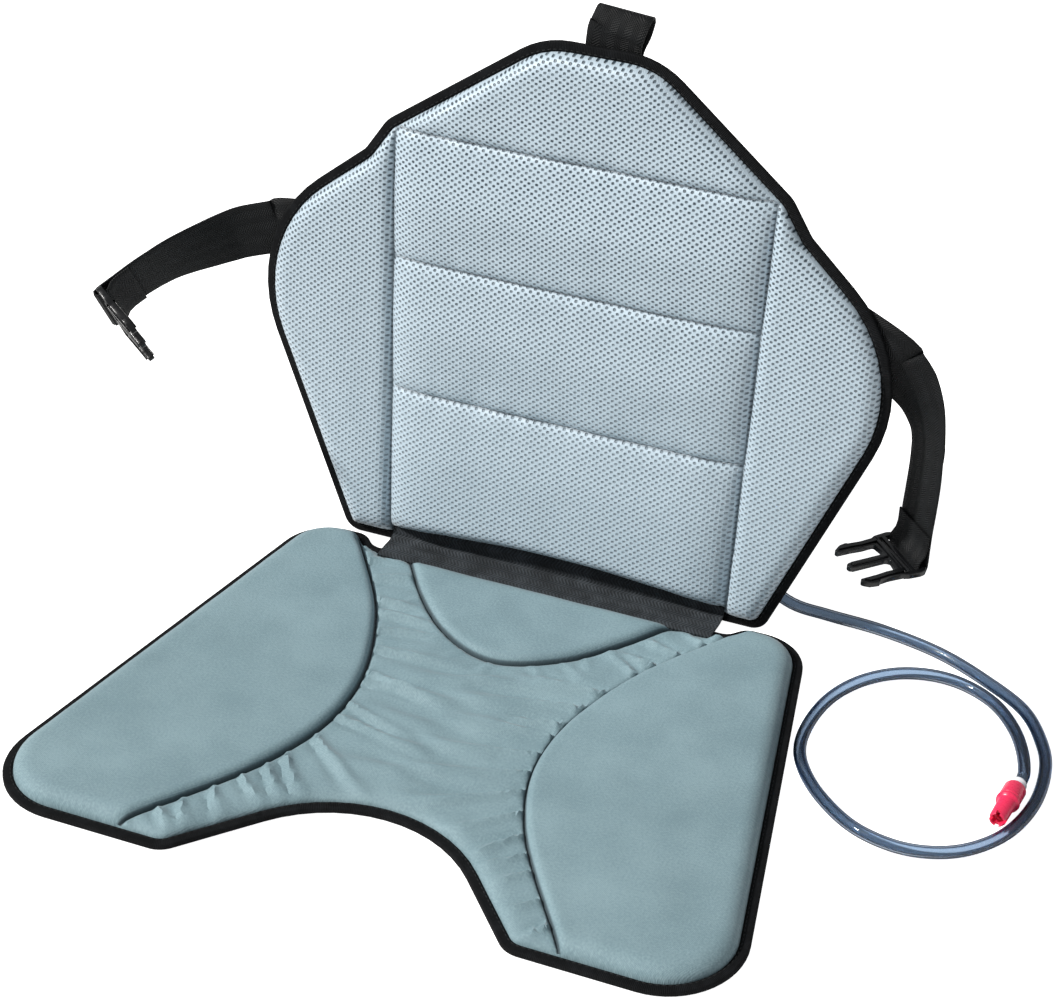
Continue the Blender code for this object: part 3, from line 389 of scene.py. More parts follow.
def webbing(name, level, sheen, pitch=0.0017):
    """Black polyester webbing: fine ribs across, with a chevron of yarns along it."""
    s = Shade(name, roughness=0.6)
    set_inputs(s.shader, {"Sheen Weight": sheen, "Sheen Roughness": 0.4, "Specular IOR Level": 0.25})
    x, y = s.uv()
    zigzag = s.math("PINGPONG", y, 0.0048)
    rows = s.rows(s.math("ADD", x, s.math("MULTIPLY", zigzag, 0.7)), pitch)
    yarns = s.rows(y, 0.0012)
    weave = s.math("ADD", s.math("MULTIPLY", rows, 0.7), s.math("MULTIPLY", yarns, 0.3))
    worn = s.patches(s.place(), 90.0, 4.0)
    dark, light = (level * 0.8, level * 0.95, level * 1.1), (level * 3.0, level * 3.5, level * 4.0)
    fac = s.math("ADD", s.math("MULTIPLY", weave, 0.25), worn)
    s.colour(s.mix(s.range(fac, 0.3, 0.95), dark, light))
    s.bump(weave, 0.00025, 0.8)
    s.bump(worn, 0.0008, 0.2)
    return s.material


def plain_cloth(name, dark, light, pitch=0.0009):
    """Plain weave in the piece's own space, also for thread."""
    s = Shade(name, roughness=0.8)
    place = s.place()
    split = s.node("ShaderNodeSeparateXYZ")
    s.link(place, split.inputs[0])
    warp = s.rows(split.outputs[0], pitch)
    weft = s.rows(s.math("ADD", split.outputs[1], split.outputs[2]), pitch)
    weave = s.math("MULTIPLY", warp, weft)
    worn = s.patches(place, 40.0, 4.0)
    s.colour(s.mix(s.range(s.math("ADD", s.math("MULTIPLY", weave, 0.15), worn), 0.3, 0.8), dark, light))
    s.bump(weave, 0.00015, 0.5)
    s.bump(worn, 0.002, 0.2)
    return s.material


def moulded(name, colour, roughness, grain=0.15):
    """Moulded plastic or film with a fine grain and slightly uneven gloss."""
    s = Shade(name, colour, roughness)
    spots = s.patches(s.place(), 420.0, 3.0)
    s.roughness(s.range(spots, 0.3, 0.7, roughness * 0.8, roughness * 1.25))
    wide = s.patches(s.place(), 55.0, 2.0)
    lower = tuple(c * 0.86 for c in colour)
    s.colour(s.mix(wide, lower, colour))
    s.bump(spots, 0.0002, grain)
    return s.material


def foam():
    """Closed-cell foam with open pores where it was cut."""
    s = Shade("foam", roughness=0.9)
    pores = s.patches(s.place(), 1400.0, 3.0)
    s.colour(s.mix(pores, (0.10, 0.105, 0.11), (0.24, 0.25, 0.26)))
    s.bump(pores, 0.0004, 0.6)
    return s.material


def clear_hose():
    """Clear hose with painted dark blue-grey shade on its walls where they turn away from the eye, standing
    in for refracted dark surroundings.
    """
    s = Shade("clear_hose", (0.86, 0.93, 1.0), 0.05)
    set_inputs(s.shader, {"IOR": 1.33, "Transmission Weight": 1.0, "Specular IOR Level": 0.8})
    # Painted shade and reflection: the rims are tinted nearly black by facing angle, the middle stays pale
    # blue.
    rim = s.range(s.facing(0.5), 0.16, 0.55)
    s.colour(s.mix(rim, (0.60, 0.71, 0.84), (0.003, 0.011, 0.040)))
    haze = s.patches(s.place(), 160.0, 3.0)
    s.roughness(s.range(haze, 0.3, 0.75, 0.02, 0.12))
    s.bump(s.patches(s.place(), 70.0, 2.0), 0.0010, 0.12)
    return s.material


def away(points, line, closed=False):
    """Distance to a plan line and the length along it, for an array of plan points."""
    corners = np.array([(p[0], p[1]) for p in line])
    if closed:
        corners = np.vstack([corners, corners[:1]])
    best = np.full(len(points), 1e9)
    place = np.zeros(len(points))
    run = 0.0
    for a, b in zip(corners[:-1], corners[1:]):
        step = b - a
        length = math.hypot(*step)
        if length < 1e-9:
            continue
        t = np.clip((points - a) @ step / length**2, 0, 1)
        gone = np.hypot(*(points - a - t[:, None] * step).T)
        nearer = gone < best
        best[nearer] = gone[nearer]
        place[nearer] = run + t[nearer] * length
        run += length
    return best, place


def within(points, outline):
    """Which plan points lie inside an outline."""
    corners = np.array([(p[0], p[1]) for p in outline])
    found = np.zeros(len(points), bool)
    for a, b in zip(corners, np.roll(corners, -1, axis=0)):
        if a[1] == b[1]:
            continue
        crosses = (a[1] > points[:, 1]) != (b[1] > points[:, 1])
        at = a[0] + (points[:, 1] - a[1]) / (b[1] - a[1]) * (b[0] - a[0])
        found ^= crosses & (points[:, 0] < at)
    return found


def smooth(t):
    """Rises from 0 to 1 with level ends."""
    t = np.clip(t, 0, 1)
    return t * t * (3 - 2 * t)


def bulge(t):
    """Rises steeply from 0 and rounds off to 1, as stuffed cloth does from a seam."""
    t = np.clip(t, 0, 1)
    return np.sqrt(1 - (1 - t) ** 2.2)


def waves(x, y, seed, detail=2):
    """Smooth noise in about -1 to 1, for arrays."""
    out = np.empty(len(x))
    for i, (a, b) in enumerate(zip(x, y)):
        out[i] = noise.fractal(Vector((a, b, seed * 7.31)), 0.7, 2.0, detail)
    return out


def smooth_line(points, step):
    """A smooth curve through the given points, in steps of about step."""
    knots = [2 * points[0] - points[1], *points, 2 * points[-1] - points[-2]]
    line = [points[0]]
    for a, b, c, d in zip(knots, knots[1:], knots[2:], knots[3:]):
        count = max(1, round((c - b).length / step))
        for i in range(1, count + 1):
            t = i / count
            line.append(
                0.5
                * (
                    2 * b
                    + (c - a) * t
                    + (2 * a - 5 * b + 4 * c - d) * t**2
                    + (3 * b - a - 3 * c + d) * t**3
                )
            )
    return line


def corner_arc(before, corner, after, radius):
    """The points of a rounded corner."""
    to_before = (before - corner).normalized()
    to_after = (after - corner).normalized()
    half = to_before.angle(to_after) / 2
    centre = corner + (to_before + to_after).normalized() * radius / math.sin(half)
    start = corner + to_before * radius / math.tan(half) - centre
    end = corner + to_after * radius / math.tan(half) - centre
    turn = math.atan2(start.x * end.y - start.y * end.x, start.dot(end))
    count = max(1, round(abs(turn) / ARC_STEP))
    return [centre + Matrix.Rotation(turn * i / count, 2) @ start for i in range(count + 1)]


def outline_of(corners):
    """A closed plan outline, anticlockwise, from corners of (x, y, radius)."""
    points = [Vector(c[:2]) for c in corners]
    rounded = []
    for i, (_, _, radius) in enumerate(corners):
        if radius:
            rounded += corner_arc(points[i - 1], points[i], points[(i + 1) % len(points)], radius)
        else:
            rounded.append(points[i])
    outline = []
    for a, b in zip(rounded, rounded[1:] + rounded[:1]):
        count = max(1, math.ceil((b - a).length / OUTLINE_STEP - 0.01))
        outline += [a.lerp(b, i / count) for i in range(count)]
    area = sum(a.x * b.y - b.x * a.y for a, b in zip(outline, outline[1:] + outline[:1]))
    return outline if area > 0 else outline[::-1]


def mirrored(half):
    """The corners of a half at +X, with their mirror images."""
    return half + [(-x, y, r) for x, y, r in reversed(half) if x]


def inset(outline, distance):
    """The outline moved inwards by a distance."""
    moved = []
    for i, point in enumerate(outline):
        before = (point - outline[i - 1]).normalized()
        after = (outline[(i + 1) % len(outline)] - point).normalized()
        normal = Vector((-before.y - after.y, before.x + after.x)).normalized()
        across = Vector((-before.y, before.x))
        moved.append(point + normal * distance / max(normal.dot(across), 0.5))
    return moved


def beside(line, distance):
    """A line at a distance to the left of another."""
    moved = []
    for i, point in enumerate(line):
        along = line[min(i + 1, len(line) - 1)] - line[max(i - 1, 0)]
        moved.append(point + Vector((-along.y, along.x)).normalized() * distance)
    return moved


def banded(lines, shifts=(0.0, -0.0009, 0.0009, -0.0020, 0.0020, -0.0035, 0.0035, -0.0055, 0.0055)):
    return [beside(line, shift) for line in lines for shift in shifts]


def plan_of(outline, rings, lines, step, clearance):
    """Triangles over an outline, on a grid that keeps its inset rings and the lines as edges."""
    points = list(outline)
    edges = []
    kept = []
    for reach in rings:
        rail = inset(outline, reach)
        spots = np.array([(p.x, p.y) for p in rail])
        clear = within(spots, outline) & (away(spots, outline, True)[0] > reach - 0.0003)
        rail = [p for p, ok in zip(rail, clear) if ok]
        first = len(points)
        points += rail
        edges += [(first + i, first + (i + 1) % len(rail)) for i in range(len(rail))]
        kept.append([*rail, rail[0]])
    for line in lines:
        spots = np.array([(p.x, p.y) for p in line])
        clear = within(spots, outline) & (away(spots, outline, True)[0] > clearance)
        run = [p for p, ok in zip(line, clear) if ok]
        if len(run) > 1:
            first = len(points)
            points += run
            edges += [(first + i, first + i + 1) for i in range(len(run) - 1)]
            kept.append(run)
    low = np.min([(p.x, p.y) for p in outline], axis=0)
    high = np.max([(p.x, p.y) for p in outline], axis=0)
    rows = np.arange(low[1], high[1], step * 0.87)
    grid = []
    for k, y in enumerate(rows):
        grid += [(x, y) for x in np.arange(low[0] + 0.5 * step * (k % 2), high[0], step)]
    grid = np.array(grid)
    ok = within(grid, outline) & (away(grid, outline, True)[0] > max([0.0, *rings]) + 0.5 * step)
    for run in kept:
        ok &= away(grid, run)[0] > 0.45 * step
    points += [Vector(p) for p in grid[ok]]
    found, _, triangles, _, _, _ = delaunay_2d_cdt(
        points, edges, [list(range(len(outline)))], 1, 1e-6, False
    )
    found = np.array([(p.x, p.y) for p in found])
    triangles = np.array(triangles)
    middles = found[triangles].mean(axis=1)
    return found, triangles[within(middles, outline)]


def piece(name, points, faces, material, uv=None, sharp=45, marks=None):
    """A cloth, cord or thread piece; marks are one value a point, which its finish reads."""
    mesh = bpy.data.meshes.new(name)
    mesh.from_pydata([tuple(p) for p in points], [], [tuple(int(i) for i in f) for f in faces])
    made = bmesh.new()
    made.from_mesh(mesh)
    bmesh.ops.recalc_face_normals(made, faces=made.faces)
    made.to_mesh(mesh)
    made.free()
    if uv is not None:
        layer = mesh.uv_layers.new(name="plan")
        index = np.empty(len(mesh.loops), np.int32)
        mesh.loops.foreach_get("vertex_index", index)
        layer.data.foreach_set("uv", np.asarray(uv, np.float32)[index].ravel())
    if marks is not None:
        layer = mesh.attributes.new("marks", "FLOAT", "POINT")
        layer.data.foreach_set("value", np.asarray(marks, np.float32))
    mesh.shade_smooth()
    mesh.set_sharp_from_angle(angle=math.radians(sharp))
    obj = bpy.data.objects.new(name, mesh)
    bpy.context.scene.collection.objects.link(obj)
    obj.data.materials.append(material)
    return obj


def shell(name, plan, top, thickness, place, material, mark=None):
    """A closed cloth sheet: top is the height over each plan point, mark a value for the look."""
    found, triangles = plan
    used, index = np.unique(triangles, return_inverse=True)
    found, triangles = found[used], index.reshape(-1, 3)
    heights = top(found)
    count = len(found)
    points = [place(x, y, z) for (x, y), z in zip(found, heights)]
    points += [place(x, y, z - thickness) for (x, y), z in zip(found, heights)]
    faces = [tuple(t) for t in triangles] + [tuple(count + i for i in t[::-1]) for t in triangles]
    sides = dict.fromkeys((a, b) for t in triangles for a, b in zip(t, (*t[1:], t[0])))
    faces += [(b, a, count + a, count + b) for a, b in sides if (b, a) not in sides]
    marks = None if mark is None else np.tile(mark(found), 2)
    return piece(name, points, faces, material, np.vstack([found, found]), marks=marks)


def on_seat(x, y, z):
    """A place on the seat: y from the fold."""
    return (x, HINGE_Y + y, z)


def on_back(x, rise, depth):
    """A place on the leaning backrest: rise along it, depth out of its front."""
    lean = math.pi / 2 - BACK_LEAN
    y = HINGE_Y + BACK_SET + rise * math.cos(lean) - depth * math.sin(lean)
    return (x, y, BACK_FOOT + rise * math.sin(lean) + depth * math.cos(lean))


def back_vector(x, rise, depth):
    return Vector(on_back(x, rise, depth))


def ring(name, outline, profile, place, material):
    """A closed ring along an outline; the profile is (distance inwards, height)."""
    rails = [inset(outline, reach) for reach, _ in profile]
    count = len(outline)
    run = np.cumsum([0.0] + [(b - a).length for a, b in zip(outline, outline[1:])])
    girth = np.cumsum([0.0] + [math.dist(a, b) for a, b in zip(profile, profile[1:])])
    points, uv = [], []
    for rail, (_, height), t in zip(rails, profile, girth):
        points += [place(p.x, p.y, height) for p in rail]
        uv += [(s, t) for s in run]
    faces = []
    for level in range(len(profile)):
        following = (level + 1) % len(profile)
        for i in range(count):
            j = (i + 1) % count
            faces.append(
                (level * count + i, level * count + j, following * count + j, following * count + i)
            )
    return piece(name, points, faces, material, uv, 60)


def binding_profile():
    """A folded tape with soft corners and lips that swell a little towards their edges."""
    top = BINDING_HEIGHT
    outer = -BINDING_WALL - GAP
    lip = BINDING_LIP
    section = [(outer, top / 2)]
    for k in range(1, 7):
        angle = math.radians(15 * k)
        section.append((outer + 0.0014 * (1 - math.cos(angle)), 0.0014 * (1 - math.sin(angle))))
    section += [(0.0022, 0.0), (lip * 0.6, 0.00005), (lip - 0.0005, 0.0), (lip, 0.0004)]
    section += [(lip, BINDING_WALL), (-GAP, BINDING_WALL), (-GAP, top - BINDING_WALL)]
    section += [(lip, top - BINDING_WALL), (lip, top - 0.0003), (lip - 0.0006, top + 0.0002)]
    section += [(lip * 0.55, top + 0.00035), (0.0022, top + 0.0002)]
    for k in range(6, 0, -1):
        angle = math.radians(15 * k)
        section.append(
            (outer + 0.0014 * (1 - math.cos(angle)), top + 0.0001 - 0.0014 * (1 - math.sin(angle)))
        )
    return section


def stitches(name, line, lift, material, length=0.0028, pitch=0.0040, radius=0.00028):
    """A row of thread loops: line is a list of (place, normal)."""
    points, faces = [], []
    run = 0.0
    due = pitch / 2
    for (a, up), (b, _) in zip(line, line[1:]):
        gap = (b - a).length
        while gap > 1e-9 and due <= run + gap:
            middle = a.lerp(b, (due - run) / gap)
            along = (b - a).normalized()
            side = along.cross(up).normalized()
            first = len(points)
            for t, size in ((-0.5, 0.35), (-0.36, 1.0), (0.36, 1.0), (0.5, 0.35)):
                sink = lift - radius * 1.4 * (abs(t) > 0.4)
                for k in range(5):
                    angle = 2 * math.pi * k / 5
                    points.append(
                        middle
                        + along * length * t
                        + up * (sink + radius * size * math.sin(angle))
                        + side * radius * size * math.cos(angle)
                    )
            for level in range(3):
                for k in range(5):
                    m = first + level * 5 + k
                    n = first + level * 5 + (k + 1) % 5
                    faces.append((m, n, n + 5, m + 5))
            faces.append(tuple(first + k for k in range(5)))
            faces.append(tuple(first + 15 + k for k in reversed(range(5))))
            due += pitch
        run += gap
    return piece(name, points, faces, material, None, 60)


def dressed(obj, *nodes, body="seat", slot=None):
    """Ties a piece to its body and to the nodes that it stands for; its slot is not used."""
    if nodes:
        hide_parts(*nodes)
    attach(obj, body)
    return obj


def under_cloth(name, outline, place, material):
    """The plain cloth behind: flat, with a rim that steps up into the binding."""
    step_in = BINDING_LIP + 0.0006
    plan = plan_of(outline, (step_in, step_in + 0.0020), (), 0.012, 0.001)

    def top(points):
        reach = away(points, outline, True)[0]
        return REAR_RIM * (1 - smooth((reach - step_in) / 0.0020)) + CLOTH

    made = shell(name, plan, top, CLOTH, place, material)
    return made


def run_of(stations):
    """The length of webbing through stations."""
    return sum((b[0] - a[0]).length for a, b in zip(stations, stations[1:]))


def seat_outline():
    """The seat's edge, with the arch of the front notch and two rear lobes."""
    return outline_of(
        mirrored(
            [
                (0.0, -SEAT_DEPTH + NOTCH_PEAK, NOTCH_PEAK_R),
                (NOTCH_MOUTH_HALF, -SEAT_DEPTH, NOTCH_MOUTH_R),
                (SEAT_FRONT_HALF, -SEAT_DEPTH, FRONT_CORNER_R),
                (SEAT_REAR_HALF, LOBE_REACH, REAR_CORNER_R),
                (HINGE_HALF_WIDTH + 0.019, LOBE_REACH, LOBE_R),
                (HINGE_HALF_WIDTH + 0.009, -HINGE_SET, LOBE_R),
            ]
        )
    )


def thigh_seam(side, step=0.004):
    """The seam between a thigh pad and the middle, rear to front."""
    knots = ((0.144, -0.004), (0.092, -0.085), (0.069, -0.170), (0.087, -0.247), (0.150, -0.342))
    return smooth_line([Vector((side * x, y)) for x, y in knots], step)


def tail_seam(step=0.004):
    """The seam round the rear middle pad, from left to right."""
    half = ((0.0, -0.101), (0.040, -0.085), (0.075, -0.050), (0.106, -0.004))
    knots = [Vector((-x, y)) for x, y in reversed(half)] + [Vector(k) for k in half[1:]]
    return smooth_line(knots, step)


def seat_height(outline):
    """How high the seat's top cloth stands over its plan: pads, seams, edge and creases."""
    thighs = [thigh_seam(1), thigh_seam(-1)]
    tail = tail_seam()

    def height(points):
        edge_gap, _ = away(points, outline, True)
        at_hinge = (np.abs(points[:, 0]) < HINGE_HALF_WIDTH + 0.002) & (points[:, 1] > -0.05)
        edge = bulge((edge_gap - np.where(at_hinge, HINGE_RIM, BINDING_LIP)) / EDGE_SLOPE)
        seam = thighs[0]
        line_x = np.interp(-points[:, 1], [-p.y for p in seam], [p.x for p in seam])
        on_thigh = np.abs(points[:, 0]) > line_x
        on_tail = within(points, tail)
        gaps = [away(points, line) for line in thighs]
        tail_gap, tail_run = away(points, tail)
        nearest = np.minimum(np.minimum(gaps[0][0], gaps[1][0]), tail_gap)
        on_pad = on_thigh | on_tail
        level = np.where(on_pad, PAD_HEIGHT, CENTRE_HEIGHT)
        crown = smooth(nearest / 0.05) * smooth((edge_gap - 0.01) / 0.06)
        level = level + np.where(on_pad, 0.0012, 0.0010) * crown
        middle = creases(points) * smooth(nearest / 0.0035)
        level += np.where(on_pad, pad_gathers(gaps), middle)
        level += 0.0005 * waves(points[:, 0] * 26, points[:, 1] * 26, 3)
        slope = np.where(on_pad, 0.0062, 0.0048)
        valley = VALLEY_HEIGHT - 0.0006
        level = valley + (level - valley) * bulge(nearest / slope)
        return FRONT_RIM + (level - FRONT_RIM) * edge

    return height


def pad_gathers(gaps):
    """Fine puckers on the pads along their seams."""
    total = 0.0
    for seed, (gap, run) in enumerate(gaps):
        total = total + 0.0005 * waves(run * 70, gap * 30, seed + 11) * np.exp(-gap / 0.010)
    return total


def crease_lines():
    """Creases that start at the seams and fan out: (line, height, width, start's fade)."""
    lines = []
    for side in (1, -1):
        seam = thigh_seam(side)
        count = 19
        for k in range(count):
            wobble = noise.noise(Vector((k * 3.7, side * 5.1, 0.3)))
            other = noise.noise(Vector((k * 2.9, side * 3.3, 7.7)))
            spot = round((k + 0.7 + 0.5 * wobble) / count * (len(seam) - 1))
            at = seam[min(len(seam) - 2, max(1, spot))]
            after = seam[min(seam.index(at) + 1, len(seam) - 1)]
            along = (after - at).normalized()
            inwards = Vector((along.y, -along.x))
            if inwards.x * side > 0:
                inwards.negate()
            share = k / (count - 1)
            reach = 0.022 + 0.052 * math.sin(math.pi * min(1.0, share * 1.05)) * (0.8 + 0.7 * other)
            heading = (inwards + along * (0.25 + 0.9 * wobble)).normalized()
            bend = Vector((-side * 0.8, -0.25 - 0.6 * other)).normalized()
            sag = bend * 0.30 * reach
            line = [at + heading * (reach * t) + sag * (t * t) for t in np.linspace(0, 1, 9)]
            lines.append((line, 0.0036 + 0.0014 * wobble, 0.0028 + 0.0010 * other, 0.01))
    for k in range(11):
        wobble = noise.noise(Vector((k * 5.3, 1.7, 4.4)))
        other = noise.noise(Vector((k * 2.3, 8.1, 6.6)))
        middle = Vector((0.030 * wobble + 0.022 * (-1) ** k, -0.118 - 0.0125 * k))
        reach = 0.040 + 0.016 * other
        slant = Vector((1, 0.16 + 0.9 * wobble)).normalized()
        line = [middle + slant * reach * t + Vector((0, 0.006 * t * t)) for t in np.linspace(-1, 1, 9)]
        lines.append((line[::-1] if k % 2 else line, 0.0034 + 0.0012 * other, 0.0046, 0.45))
    tail = tail_seam()
    for k in range(13):
        wobble = noise.noise(Vector((k * 4.1, 9.3, 2.2)))
        at = tail[round((k + 0.6 + 0.4 * wobble) / 13 * (len(tail) - 2))]
        after = tail[tail.index(at) + 1]
        along = (after - at).normalized()
        outwards = Vector((-along.y, along.x))
        if outwards.y > 0:
            outwards.negate()
        reach = 0.012 + 0.013 * abs(wobble) * 2
        heading = (outwards + along * 0.8 * wobble).normalized()
        line = [at + heading * reach * t for t in np.linspace(0, 1, 5)]
        lines.append((line, 0.0017, 0.0023, 0.01))
    return lines


def creases(points):
    """A ridge along each crease with a dip beside it, fading out along its length."""
    total = np.zeros(len(points))
    for line, high, wide, fade in crease_lines():
        start, end = line[0], line[-1]
        centre, reach = (start + end) / 2, (end - start).length / 2 + 5 * wide
        near = np.nonzero(np.hypot(points[:, 0] - centre.x, points[:, 1] - centre.y) < reach)[0]
        if not len(near):
            continue
        spots = points[near]
        gap, run = away(spots, line)
        length = sum((b - a).length for a, b in zip(line, line[1:]))
        t = np.clip(run / length, 0, 1)
        widen = wide * (0.75 + 0.9 * t)
        chord = end - start
        side = np.sign((spots[:, 0] - start.x) * chord.y - (spots[:, 1] - start.y) * chord.x)
        ridge = np.exp(-((gap / widen) ** 2)) - 0.55 * np.exp(-(((side * gap - 1.9 * widen) / widen) ** 2))
        beyond = np.clip((gap - 2.5 * wide) / wide, 0, 1) * (t > 0.98)
        total[near] += high * ridge * smooth(t / fade) * (1 - t) ** 0.6 * (1 - beyond)
    return total


def nearest_seam(lines):
    """The mark of a sewn cloth: its distance to the nearest seam."""

    def mark(points):
        return np.min([away(points, line)[0] for line in lines], axis=0)

    return mark


def flat_line(line, height, place, lift=0.0):
    """A plan line laid on a height function, with its normals."""
    spots = np.array([(p.x, p.y) for p in line])
    tops = height(spots)
    up = (Vector(place(0, 0, 1)) - Vector(place(0, 0, 0))).normalized()
    return [(Vector(place(x, y, z + lift)), up) for (x, y), z in zip(spots, tops)]


def closed_line(outline, reach, height, place):
    rail = inset(outline, reach)
    up = (Vector(place(0, 0, 1)) - Vector(place(0, 0, 0))).normalized()
    return [(Vector(place(p.x, p.y, height)), up) for p in [*rail, rail[0]]]


def make_seat(looks):
    """Top and under cloth, edge tape and the stitches of the seat."""
    outline = seat_outline()
    height = seat_height(outline)
    seams = [thigh_seam(1), thigh_seam(-1), tail_seam()]
    plan = plan_of(outline, EDGE_RINGS, banded(seams), 0.0029, BINDING_LIP + 0.0004)
    cover = shell("seat_cloth_top", plan, height, CLOTH, on_seat, looks["seat"], nearest_seam(seams))
    dressed(cover, "seat_top_cover")
    dressed(under_cloth("seat_under_cloth", outline, on_seat, looks["under"]), "seat_base_cover")
    tape_ring = ring("seat_edge_tape", outline, binding_profile(), on_seat, looks["tape"])
    dressed(tape_ring, "seat_binding")
    row = closed_line(outline, BINDING_LIP - 0.0016, BINDING_HEIGHT, on_seat)
    dressed(stitches("seat_tape_stitches", row, 0.0003, looks["thread"]), slot="seat_binding")
    for name, seam in zip(("right_thigh", "left_thigh", "tail"), seams):
        spots = np.array([(p.x, p.y) for p in seam])
        seam = [p for p, gap in zip(seam, away(spots, outline, True)[0]) if gap > BINDING_LIP]
        row = flat_line(seam, height, on_seat)
        made = stitches(f"{name}_seam_stitches", row, 0.0002, looks["grey_thread"])
        dressed(made, slot="seat_top_cover")


def back_outline():
    """The backrest's edge, sewn a little wider at the left wing and lower at the left shoulder."""
    half = [
        (BACK_FOOT_HALF, 0.0, BACK_FOOT_R),
        (WING_HALF, WING_RISE, WING_R),
        (NECK_HALF, NECK_RISE, NECK_R_IN),
        (SHOULDER_HALF, SHOULDER_RISE, SHOULDER_R),
        (CROWN_HALF, BACK_HEIGHT, CROWN_R),
    ]
    corners = []
    for x, rise, radius in mirrored(half):
        if rise < NECK_RISE:
            x -= LEFT_LEAN
        elif rise == BACK_HEIGHT and x < 0:
            x += 0.0115
        corners.append((x, rise, radius))
    return outline_of(corners)


def seam_half(rise):
    """Half the width of the quilted middle at a rise."""
    return SEAM_FOOT_HALF + (SEAM_TOP_HALF - SEAM_FOOT_HALF) * rise / SHOULDER_RISE


def hinge_top(x):
    """How far up the backrest the fold's webbing reaches."""
    return HINGE_TOP_END + (HINGE_TOP_MIDDLE - HINGE_TOP_END) * (1 - (x / HINGE_HALF_WIDTH) ** 2)


def back_depth(outline):
    """How far the mesh stands out over the backrest's plan: wings, quilted middle, crown."""
    def depth(points):
        x, rise = points[:, 0], points[:, 1]
        edge_gap, _ = away(points, outline, True)
        edge = bulge((edge_gap - BINDING_LIP) / EDGE_SLOPE)
        across = np.abs(x) / seam_half(rise)
        foot = (rise - hinge_top(x)) / EDGE_SLOPE
        centre_edge = np.minimum(np.where(rise > 0.03, edge, 1.0), bulge(foot))
        centre = FRONT_RIM + (centre_level(x, rise, across) - FRONT_RIM) * centre_edge
        gap = np.abs(x) - seam_half(rise)
        wing = WING_DEPTH + 0.0012 * smooth(gap / 0.04) * smooth((edge_gap - 0.008) / 0.04)
        wing = wing + 0.0005 * waves(x * 25, rise * 25, 8)
        wing = SEAM_VALLEY + (wing - SEAM_VALLEY) * bulge(gap / 0.0095)
        wing = FRONT_RIM + (wing - FRONT_RIM) * edge
        return np.where(across < 1, centre, wing)

    return depth


def centre_level(x, rise, across):
    """The puffed channels and the crown between the two upright seams."""
    rises = (0.0, *CHANNEL_RISES)
    crown = CROWN_DEPTH - CROWN_SEAM_DEPTH
    level = CROWN_SEAM_DEPTH + crown * bulge((rise - CHANNEL_RISES[-1]) / 0.012)
    for band, (low, high) in enumerate(zip(rises, rises[1:])):
        here = (rise >= low) & (rise < high)
        t = np.clip((rise - low) / (high - low), 0, 1)
        from_seam = np.minimum(t if band else t + 1, 1 - t) * (high - low)
        puff = CHANNEL_PUFF * (0.55 * bulge(from_seam / 0.016) + 0.45 * smooth(from_seam / 0.05))
        seam_level = CHANNEL_SEAM_DEPTH - 0.0015
        if band == len(CHANNEL_RISES) - 1:
            seam_level += (CROWN_SEAM_DEPTH - seam_level) * smooth((t - 0.35) / 0.65)
        level = np.where(here, seam_level + puff, level)
    nearest = np.min([np.abs(rise - seam) for seam in CHANNEL_RISES], axis=0)
    pucker = waves(x * 55, rise * 16, 4, 2)
    level = level + 0.0012 * pucker * np.exp(-nearest / 0.012) * smooth(nearest / 0.004)
    level += 0.0006 * waves(x * 22, rise * 22, 6)
    side = np.clip(1 - np.clip(across, 0, 1) ** 8, 0, 1) ** 0.5
    side = side + (1 - side) * smooth((rise - CHANNEL_RISES[-1]) / 0.012)
    return SEAM_VALLEY + (level - SEAM_VALLEY) * side


def seam_line(side, shift, low=-0.01, high=0.35, step=0.004):
    rows = max(1, round((high - low) / step))
    rises = [low + (high - low) * k / rows for k in range(rows + 1)]
    return [Vector((side * (seam_half(rise) + shift), rise)) for rise in rises]


def make_back(looks):
    """Mesh cloths, rear cloth, edge tape and the stitches of the backrest."""
    outline = back_outline()
    depth = back_depth(outline)
    lines = []
    for seam in CHANNEL_RISES:
        half = seam_half(seam) - 0.004
        lines.append([Vector((half * k / 60, seam)) for k in range(-60, 61)])
    lines.append([Vector((k * 0.0031, hinge_top(k * 0.0031))) for k in range(-40, 41)])
    for side in (-1, 1):
        for shift in (-GAP, GAP):
            lines.append(seam_line(side, shift, 0.002, 0.310))
    plan = plan_of(outline, EDGE_RINGS, lines, 0.0034, 0.0004)
    seams = [seam_line(side, 0, 0.0, SHOULDER_RISE) for side in (-1, 1)] + lines[: len(CHANNEL_RISES)]
    found, triangles = plan
    middles = found[triangles].mean(axis=1)
    reach = np.abs(middles[:, 0]) - seam_half(middles[:, 1])
    parts = {
        "left_wing": ("back_left_wing_panel", (reach > 0) & (middles[:, 0] < 0)),
        "right_wing": ("back_right_wing_panel", (reach > 0) & (middles[:, 0] > 0)),
        "middle": ("back_centre_panel", reach < 0),
    }
    for name, (node, keep) in parts.items():
        cut = (found, triangles[keep])
        made = shell(f"{name}_mesh_cloth", cut, depth, CLOTH, on_back, looks["mesh"], nearest_seam(seams))
        dressed(made, node)
    dressed(under_cloth("back_rear_cloth", outline, on_back, looks["under"]), "back_rear_cover")
    tape_ring = ring("back_edge_tape", outline, binding_profile(), on_back, looks["tape"])
    dressed(tape_ring, "back_binding")
    row = closed_line(outline, BINDING_LIP - 0.0016, BINDING_HEIGHT, on_back)
    dressed(stitches("back_tape_stitches", row, 0.0003, looks["thread"]), slot="back_binding")
    for k, seam in enumerate(CHANNEL_RISES):
        half = seam_half(seam) - 0.003
        line = [Vector((half * i / 80, seam)) for i in range(-80, 81)]
        row = flat_line(line, depth, on_back)
        made = stitches(f"channel_{k + 1}_stitches", row, 0.0002, looks["pale_thread"])
        dressed(made, slot="back_centre_panel")


